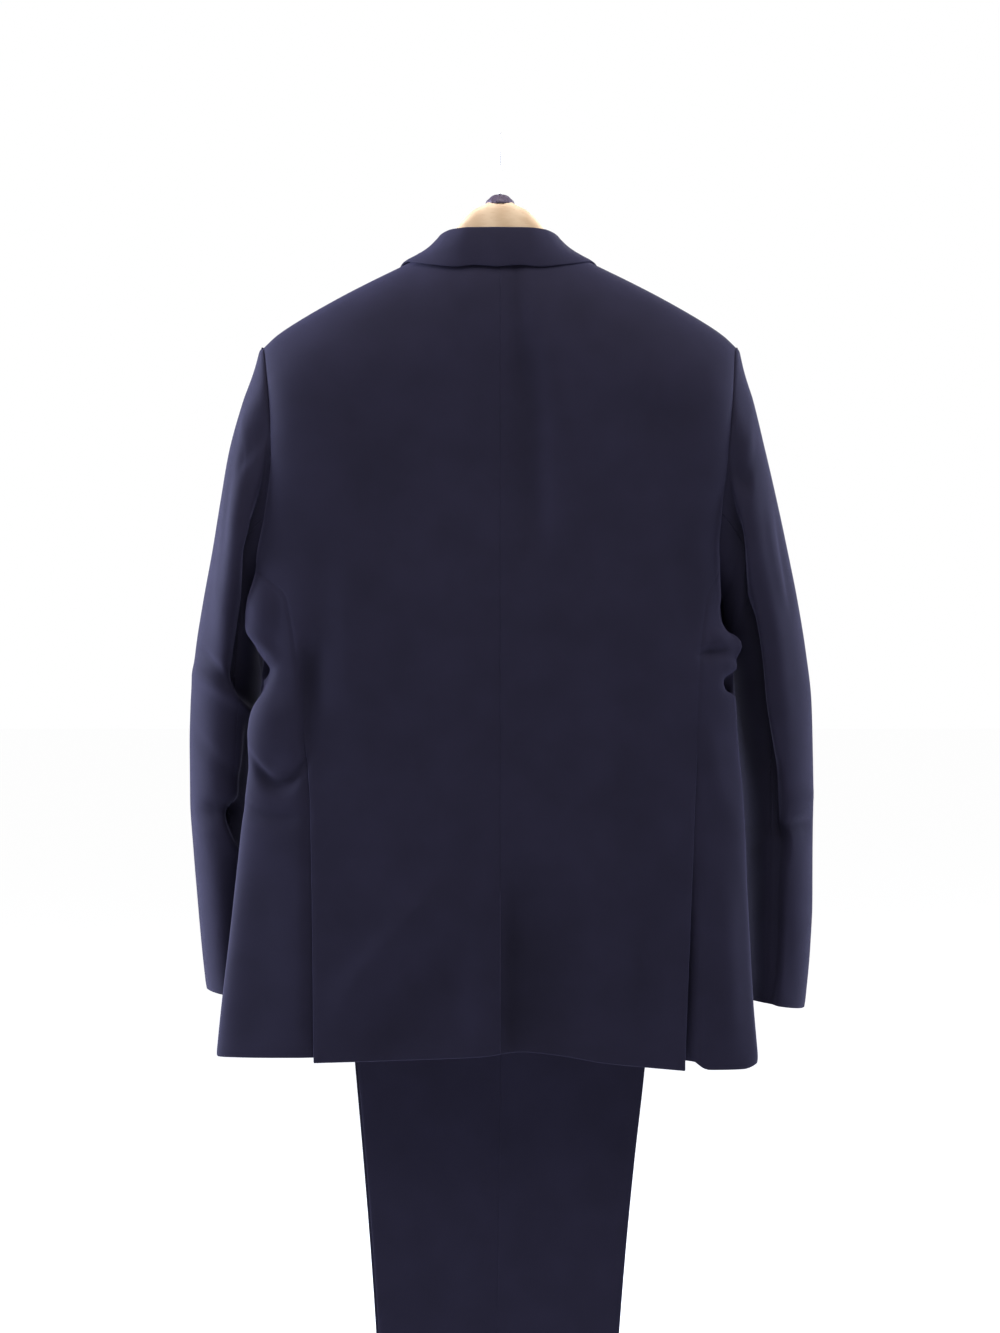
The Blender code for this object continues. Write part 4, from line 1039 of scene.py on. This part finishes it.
def waistband(side):
    def place(u, v):
        z = WAIST_TOP - WAISTBAND_HEIGHT * v
        x = lerp(LEG.at("front", WAIST_TOP), LEG.at("back", WAIST_TOP), u)
        return stack(x, side * WAISTBAND_Y, z), 0.0

    options = {"wall": WAISTBAND_CLOTH, "flip": side == RIGHT}
    sew("waistband", side, place, rests_on=f"clip_{NAMES[side]}", **options)


# ---- buttons and buttonholes
BUTTON = Sizes(radius=10.0, thickness=3.4, hole=0.95, spread=2.1)
# The button from the middle of its face over the rim to its back, as shares of those.
BUTTON_PROFILE = numbers("""
    0 0.6; 0.35 0.58; 0.6 0.62; 0.7 0.8; 0.78 0.98; 0.88 1; 0.97 0.86; 1 0.6; 0.98 0.3; 0.9 0.06
    0 0
""")
# The thread across its face: the face's height as a share of the thickness, the ends' height in their
# holes as a share of that, and how far the crossing stands over the face, less or more by over.
TIE = Sizes(face=0.62, sunk=0.2, crossing=0.5, over=0.2, thread=0.45)
TIE_WAY = -1, -0.8, 0, 0.8, 1  # from hole to hole
FRONT_BUTTONS = (-522.0, -622.0)
BUTTONHOLE = Sizes(inner=-22.0, outer=1.0, half=1.1, thread=0.42, stitches=46)
HOLE_SHAPE = Sizes(along=0.35, high=0.6)  # less than 1 squares the oval of the stitches
STITCH = Sizes(low=0.25, step=0.22)  # how far the stitches lie off the cloth, and every other one more


def turned(name, profile, steps, count=0, depth=0.0):
    """A turned solid about Z, from (radius, height) pairs that run down its outer side, with a
    count of flutes cut into it by a share of the radius."""
    angles = np.linspace(0, 2 * math.pi, steps, endpoint=False)
    reach = 1 - depth * (1 - np.cos(count * angles)) / 2
    circle = np.stack([reach * np.cos(angles), reach * np.sin(angles)], -1)
    rings = [np.column_stack([radius * circle, np.full(steps, z)]) for radius, z in profile[1:-1]]
    ends = [[(0, 0, profile[0][1])], [(0, 0, profile[-1][1])]]
    points = np.concatenate([*rings, *ends])
    index = closed_rings(len(rings), steps)
    top, bottom = len(points) - 2, len(points) - 1
    faces = quads(index).tolist()
    faces += [(top, this, after) for this, after in zip(index[0, :-1], index[0, 1:])]
    faces += [(bottom, after, this) for this, after in zip(index[-1, :-1], index[-1, 1:])]
    return mesh_object(name, points, faces)


def thread(name, routes, radius, closed=False):
    """Stitched thread along the routes, in one curve object."""
    curve = bpy.data.curves.new(name, "CURVE")
    curve.dimensions = "3D"
    curve.bevel_depth = radius * MM
    curve.bevel_resolution = SECTION.thread
    curve.use_fill_caps = not closed
    for route in routes:
        spline = curve.splines.new("POLY")
        spline.points.add(len(route) - 1)
        spline.use_cyclic_u = closed
        for point, place in zip(spline.points, route):
            point.co = (*(np.array(place) * MM), 1)
    return add_object(name, curve)


def drill(piece, centres, radius, depth):
    """Cuts round holes down through a piece."""
    for x, y in centres:
        bpy.ops.mesh.primitive_cylinder_add(vertices=STEPS.hole, radius=radius * MM, depth=depth * MM)
        cutter = bpy.context.object
        cutter.location = (x * MM, y * MM, 0)
        hole = piece.modifiers.new("hole", "BOOLEAN")
        hole.object, hole.operation, hole.solver = cutter, "DIFFERENCE", "EXACT"
        bpy.context.view_layer.update()
        cut = bpy.data.meshes.new_from_object(piece.evaluated_get(bpy.context.evaluated_depsgraph_get()))
        piece.modifiers.clear()
        piece.data = cut
        bpy.data.objects.remove(cutter, do_unlink=True)


def front_button(number, z):
    seat = on_front(LEFT, np.array(0.0), np.array(z), 2 * LAID_ON)
    profile = [(BUTTON.radius * across, BUTTON.thickness * up) for across, up in BUTTON_PROFILE]
    piece = turned(f"button_{number}", profile, STEPS.button)
    spread = BUTTON.spread
    holes = [(x * spread, y * spread) for x in (-1, 1) for y in (-1, 1)]
    drill(piece, holes, BUTTON.hole, 4 * BUTTON.thickness)
    piece.data.shade_smooth()
    face = BUTTON.thickness * TIE.face
    ties = []
    for turn in (-1, 1):
        heights = face * TIE.sunk, face, face + TIE.crossing + TIE.over * turn, face, face * TIE.sunk
        ties.append([(way * spread, way * turn * spread, up) for way, up in zip(TIE_WAY, heights)])
    cross = thread(f"button_thread_{number}", ties, TIE.thread)
    for thing in (piece, cross):
        thing.rotation_euler = (-math.pi / 2, 0, 0)
        thing.location = tuple(seat * MM)
    dress(piece, "button_horn", HORN, f"front_button_{number}")
    dress(cross, "suit_cloth", THREAD)


def buttonhole(number, z):
    """A stitched buttonhole that the button sits at the outer end of."""
    turns = np.linspace(0, 2 * math.pi, BUTTONHOLE.stitches, endpoint=False)
    inner, outer = BUTTONHOLE.inner, BUTTONHOLE.outer
    route = []
    for step, turn in enumerate(turns):
        x = (outer + inner) / 2 + (outer - inner) / 2 * rounded(math.cos(turn), HOLE_SHAPE.along)
        high = BUTTONHOLE.half * rounded(math.sin(turn), HOLE_SHAPE.high)
        lift = STITCH.low + STITCH.step * (step % 2)
        route.append(on_front(LEFT, np.array(-x), np.array(z + high), lift))
    dress(thread(f"buttonhole_{number}", [route], BUTTONHOLE.thread, True), "suit_cloth", THREAD)


# ---- the hanger
ARMS = Table("""
    x top bottom
    0 -62.6 -104; 11 -63 -104.6; 15.5 -65.6 -105; 24 -69.4 -107; 35 -79 -110; 42 -88 -113
    60 -109 -126; 80 -120.2 -140; 98 -128.9 -151; 120 -139.4 -163; 153 -156.5 -183; 180 -171.7 -200
    200 -184.2 -210; 209 -191.8 -211
""")
NECK_SWELL = Sizes(out=4.4, reach=26.0)  # how the wood thickens under the cap
# The domed cap as shares of its radius and height, and its flutes.
FERRULE_CURVE = numbers("""
    0 1; 0.2 0.985; 0.44 0.93; 0.6 0.82; 0.7 0.68; 0.79 0.56; 0.9 0.44; 0.97 0.3; 1 0.14; 1 0.02
    0.97 0; 0 0
""")
FLUTES = {"count": 14, "depth": 0.035}


def hanger_arms():
    stations, around = STEPS.arms
    across, angle = np.meshgrid(np.linspace(-1, 1, stations), np.linspace(0, 2 * math.pi, around, False))
    x = ARMS.cells[-1, 0] * rounded(across, ARM_BUNCH)
    out = np.abs(x)
    square = lerp(*ARM.square, ease(*ARM.from_middle, out))
    top, bottom = ARMS.at("top", out), ARMS.at("bottom", out)
    past_end = ((np.abs(across) - ARM.end) / (1 - ARM.end)).clip(0)
    end = np.sqrt(np.clip(1 - past_end**2, 1e-4, 1))
    thickness = ARM.half + NECK_SWELL.out * np.exp(-((x / NECK_SWELL.reach) ** 2))
    y = thickness * end * rounded(np.cos(angle), square) + ARMHOLE.y * ease(*ARM.lie_back, out)
    z = (top + bottom) / 2 + (top - bottom) / 2 * end * rounded(np.sin(angle), square)
    index = closed_rings(stations, around)
    faces = quads(index)[:, ::-1].tolist() + [index[0, :-1].tolist(), index[-1, -2::-1].tolist()]
    arms = mesh_object("wooden_arms", stack(x, y, z).transpose(1, 0, 2).reshape(-1, 3), faces)
    dress(arms, "hanger_wood", WOOD, "hanger_arms")


def hook_ferrule():
    bottom, top = FERRULE.bottom, FERRULE.top
    profile = [(FERRULE.radius * across, lerp(bottom, top, up)) for across, up in FERRULE_CURVE]
    dress(turned("ferrule", profile, STEPS.cap, **FLUTES), "collar_black", CAP, "hook_ferrule")


def wire(name, route, radius, node):
    piece = thread(name, [route], radius)
    piece.data.bevel_resolution = SECTION.wire
    dress(piece, "bright_steel", STEEL, node)


def hook():
    """The wire rises from the ferrule and turns up the front, over the top and down the back."""
    radius = HOOK.bend + HOOK.wire
    arc = np.radians(np.linspace(HOOK.start, HOOK.end, STEPS.hook))
    route = [(0, 0, FERRULE.top + LAID_ON), *HOOK.neck]
    route += [(0, radius * math.cos(angle), -HOOK.bend + radius * math.sin(angle)) for angle in arc]
    wire("hook_wire", route, HOOK.wire, "hook")


def trouser_bar():
    """A bar with its ends turned up to the undersides of the arms."""
    reach, corner, y = BAR.half_width, BAR.corner, ARMHOLE.y
    right = [(reach, y, float(ARMS.at("bottom", reach)) - BAR.seat_gap)]
    for angle in np.linspace(math.pi / 2, 0, STEPS.bar):
        x, z = reach - corner + corner * math.sin(angle), BAR.z + corner - corner * math.cos(angle)
        right.append((x, y, z))
    left = [(-x, y, z) for x, y, z in reversed(right)]
    wire("trouser_bar_wire", right + left, BAR.radius, "trouser_bar")


# ---- materials
class Finish:
    """A material and a short way to add and join its nodes."""

    def __init__(self, name, **sockets):
        self.material = bpy.data.materials.new(name)
        self.material.use_nodes = True
        self.tree = self.material.node_tree
        self.shader = self.tree.nodes["Principled BSDF"]
        self.solid = self.node("TexCoord").outputs["Object"]
        for socket, value in sockets.items():
            self.set(socket.replace("_", " "), value)

    def put(self, socket, value):
        """Sets a socket to a value, or joins another socket to it."""
        if isinstance(value, bpy.types.NodeSocket):
            self.tree.links.new(value, socket)
        else:
            socket.default_value = value

    def set(self, socket, value):
        self.put(self.shader.inputs[socket], value)

    def node(self, kind, inputs=(), **settings):
        made = self.tree.nodes.new(f"ShaderNode{kind}")
        for name, value in settings.items():
            setattr(made, name, value)
        for socket, value in dict(inputs).items():
            self.put(made.inputs[socket], value)
        return made

    def math(self, operation, first, second):
        return self.node("Math", {0: first, 1: second}, operation=operation).outputs[0]

    def noise(self, place, scale, detail=2.0, **inputs):
        inputs = {"Vector": place, "Scale": scale, "Detail": detail, **inputs}
        return self.node("TexNoise", inputs).outputs["Fac"]

    def mix(self, share, low, high):
        """A colour between two, by a socket's share."""
        return self.node("Mix", {0: share, 6: low, 7: high}, data_type="RGBA").outputs[2]

    def map_range(self, value, low, high, to_low=0.0, to_high=1.0):
        inputs = {"Value": value, "From Min": low, "From Max": high, "To Min": to_low, "To Max": to_high}
        return self.node("MapRange", inputs).outputs["Result"]

    def bump(self, height, strength, distance):
        made = self.node("Bump", {"Height": height, "Strength": strength, "Distance": distance})
        self.set("Normal", made.outputs["Normal"])


def colour(red, green, blue):
    return (red, green, blue, 1.0)


# Painted shade in the folds: how bright the cloth is painted in a fold of that depth, in millimetres,
# and over and under its mean dye.
PAINTED_FOLD_SHADE = Sizes(depth=14.0, bright=0.5)
NOISE = 0.3, 0.7  # most of a noise lies between these
YARN = {"Scale": 520.0, "Distortion": 1.2, "Detail": 1.0, "Detail Scale": 2.0}


def wool(name, dark, light):
    """A fine plain wool: crossed yarns with slubs, a mottled dye, and painted shade that darkens it down
    in the folds.
    """
    made = Finish(name, Roughness=0.8, Specular_IOR_Level=0.08, Sheen_Weight=0.10, Sheen_Roughness=0.4)
    made.set("Sheen Tint", colour(0.55, 0.52, 0.95))
    flat = made.node("UVMap", uv_map="weave").outputs["UV"]
    yarns = []
    for direction in ("X", "Y"):
        settings = {"wave_type": "BANDS", "bands_direction": direction, "wave_profile": "SIN"}
        yarns.append(made.node("TexWave", {"Vector": flat, **YARN}, **settings).outputs["Fac"])
    weave = made.math("MULTIPLY", *yarns)
    slub = made.noise(flat, 1400.0, Roughness=0.6)
    tone = made.mix(made.map_range(made.math("MULTIPLY", weave, slub), 0.05, 0.45), dark, light)
    # painted shade: the colour is darkened by how deep the cloth lies in a fold or in a sleeve's turn-in
    folds = made.node("Attribute", attribute_name="folds").outputs["Fac"]
    painted_shade_in_folds = made.map_range(folds, -PAINTED_FOLD_SHADE.depth, 0.0, PAINTED_FOLD_SHADE.bright, 1.0)
    mottled = made.map_range(made.noise(made.solid, 24.0, 3.0), *NOISE, 0.9, 1.1)
    value = made.math("MULTIPLY", painted_shade_in_folds, mottled)
    made.set("Base Color", made.node("HueSaturation", {"Color": tone, "Value": value}).outputs["Color"])
    made.bump(made.math("ADD", weave, slub), 0.22, 0.0003)
    return made.material


def horn(name):
    made = Finish(name, Roughness=0.45, Specular_IOR_Level=0.3, Coat_Weight=0.04)
    streaks = made.noise(made.solid, 260.0, 4.0, Distortion=1.6)
    made.set("Base Color", made.mix(streaks, colour(0.006, 0.005, 0.009), colour(0.022, 0.018, 0.024)))
    return made.material


def pale_wood(name):
    """Pale wood with a dull lacquer and its grain along the arms."""
    made = Finish(name, Specular_IOR_Level=0.3, Coat_Weight=0.05)
    grain = made.node("Mapping", {"Vector": made.solid, "Scale": (9.0, 90.0, 60.0)}).outputs["Vector"]
    rings = made.node("TexWave", {"Vector": grain, "Scale": 1.3, "Distortion": 5.0, "Detail": 3.0})
    pores = made.noise(grain, 9.0, 4.0)
    warm = made.mix(rings.outputs["Fac"], colour(0.565, 0.395, 0.25), colour(0.66, 0.49, 0.325))
    in_pores = made.map_range(pores, 0.55, 0.75, 0.0, 0.35)
    made.set("Base Color", made.mix(in_pores, warm, colour(0.48, 0.30, 0.18)))
    made.set("Roughness", made.map_range(pores, *NOISE, 0.46, 0.60))
    made.bump(pores, 0.08, 0.0002)
    return made.material


def worn(name, scale, detail, colours, roughness, **sockets):
    """A finish whose colour and roughness lie between two values each, by fine wear."""
    made = Finish(name, **sockets)
    wear = made.noise(made.solid, scale, detail)
    made.set("Roughness", made.map_range(wear, *NOISE, *roughness))
    made.set("Base Color", made.mix(wear, *colours))
    return made.material


def dress_carried_nodes():
    """The clips are as their solids are, with the steel's finish."""
    for side in SIDES:
        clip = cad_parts[f"clip_{NAMES[side]}"]
        clip.data.materials.clear()
        clip.data.materials.append(STEEL)


# ---- the stage
FLOOR_Z = -1.30
CAMERA = Sizes(distance=3.2, z=-0.503, frame_height=1.266)
# Each light's place, the point it looks at, its size in metres, its power in watts and its colour.
WHITE, COOL = (1.0, 1.0, 1.0), (0.74, 0.80, 1.0)
LIGHTS = {
    "top": ((0.1, -0.65, 1.0), (0, 0, -0.5), 1.1, 32, WHITE),
    "side_left": ((-2.6, -0.4, 0.0), (-0.25, 0, -0.5), 0.9, 15, COOL),
    "rim_left": ((-2.3, 0.45, 0.1), (-0.2, 0, -0.45), 1.4, 172, COOL),
    "rim_right": ((2.3, 0.5, 0.3), (0.2, 0, -0.45), 1.4, 84, COOL),
    "front": ((0.8, 2.8, 1.2), (0, 0, -0.5), 1.6, 26, WHITE),
}
WORLD_LIGHT = 0.05  # what the white all round gives as a light
# How much the floor gives back by itself: two distances from its middle in metres, and the glow there.
FLOOR_GLOW = 2.0, 4.6, 0.32, 0.94


def stage_floor():
    """A pale floor that runs out into the white behind it."""
    made = Finish("pale_floor", Roughness=0.9, Specular_IOR_Level=0.1)
    away = made.node("VectorMath", {0: made.solid}, operation="LENGTH").outputs["Value"]
    made.set("Emission Strength", made.map_range(away, *FLOOR_GLOW))
    made.set("Emission Color", colour(1, 1, 1))
    cloud = made.noise(made.solid, 1.5)
    made.set("Base Color", made.mix(cloud, colour(0.90, 0.90, 0.90), colour(0.92, 0.92, 0.92)))
    bpy.ops.mesh.primitive_plane_add(size=80, location=(0, 0, FLOOR_Z))
    floor = bpy.context.object
    floor.name = "floor"
    floor.data.materials.append(made.material)


def studio_world():
    """White all round, and softer as a light than it looks."""
    world = bpy.data.worlds.new("studio")
    bpy.context.scene.world = world
    world.use_nodes = True
    nodes, links = world.node_tree.nodes, world.node_tree.links
    seen, lighting = nodes["Background"], nodes.new("ShaderNodeBackground")
    seen.inputs["Color"].default_value = lighting.inputs["Color"].default_value = colour(1, 1, 1)
    seen.inputs["Strength"].default_value = 1.0
    lighting.inputs["Strength"].default_value = WORLD_LIGHT
    which, ray = nodes.new("ShaderNodeMixShader"), nodes.new("ShaderNodeLightPath")
    links.new(ray.outputs["Is Camera Ray"], which.inputs[0])
    links.new(lighting.outputs[0], which.inputs[1])
    links.new(seen.outputs[0], which.inputs[2])
    links.new(which.outputs[0], nodes["World Output"].inputs["Surface"])


def aim(thing, place, target):
    thing.location = place
    thing.rotation_euler = (Vector(target) - Vector(place)).to_track_quat("-Z", "Y").to_euler()


def studio_lights():
    for name, (place, target, size, power, tint) in LIGHTS.items():
        data = bpy.data.lights.new(name, "AREA")
        data.size, data.energy, data.color = size, power, tint
        aim(add_object(name, data), place, target)


def studio_camera():
    data = bpy.data.cameras.new("camera")
    data.sensor_fit = "VERTICAL"
    data.angle = 2 * math.atan(CAMERA.frame_height / 2 / CAMERA.distance)
    camera = add_object("camera", data)
    aim(camera, (0, -CAMERA.distance, CAMERA.z), (0, 0, CAMERA.z))
    bpy.context.scene.camera = camera
    bpy.context.scene.view_settings.view_transform = "Standard"


# ---- the suit
NAVY_DARK, NAVY_LIGHT = colour(0.0102, 0.0091, 0.0192), colour(0.0204, 0.0182, 0.0368)
WOOL = wool("navy_wool", NAVY_DARK, NAVY_LIGHT)
THREAD = wool("navy_thread", colour(0.010, 0.009, 0.018), colour(0.022, 0.020, 0.036))
HORN = horn("dark_horn")
WOOD = pale_wood("pale_wood")
CAP_COLOURS = colour(0.045, 0.03, 0.05), colour(0.10, 0.075, 0.11)
CAP = worn("dark_cap", 320.0, 4.0, CAP_COLOURS, (0.5, 0.65), Specular_IOR_Level=0.35, Metallic=0.2)
STEEL_COLOURS = colour(0.70, 0.70, 0.71), colour(0.78, 0.78, 0.79)
STEEL = worn("plated_steel", 700.0, 3.0, STEEL_COLOURS, (0.58, 0.70), Metallic=1.0)

studio_camera()
studio_world()
studio_lights()
stage_floor()
for side in SIDES:
    for piece in (back_panel, side_panel, front_panel, lapel, pocket_flap):
        piece(side)
    for kind in ("top", "under"):
        sleeve(side, kind)
    for part in ("front", "back"):
        leg_panel(side, part)
    waistband(side)
collar()
breast_welt()
for number, z in enumerate(FRONT_BUTTONS, 1):
    front_button(number, z)
    buttonhole(number, z)
for piece in (hanger_arms, hook_ferrule, hook, trouser_bar, dress_carried_nodes):
    piece()
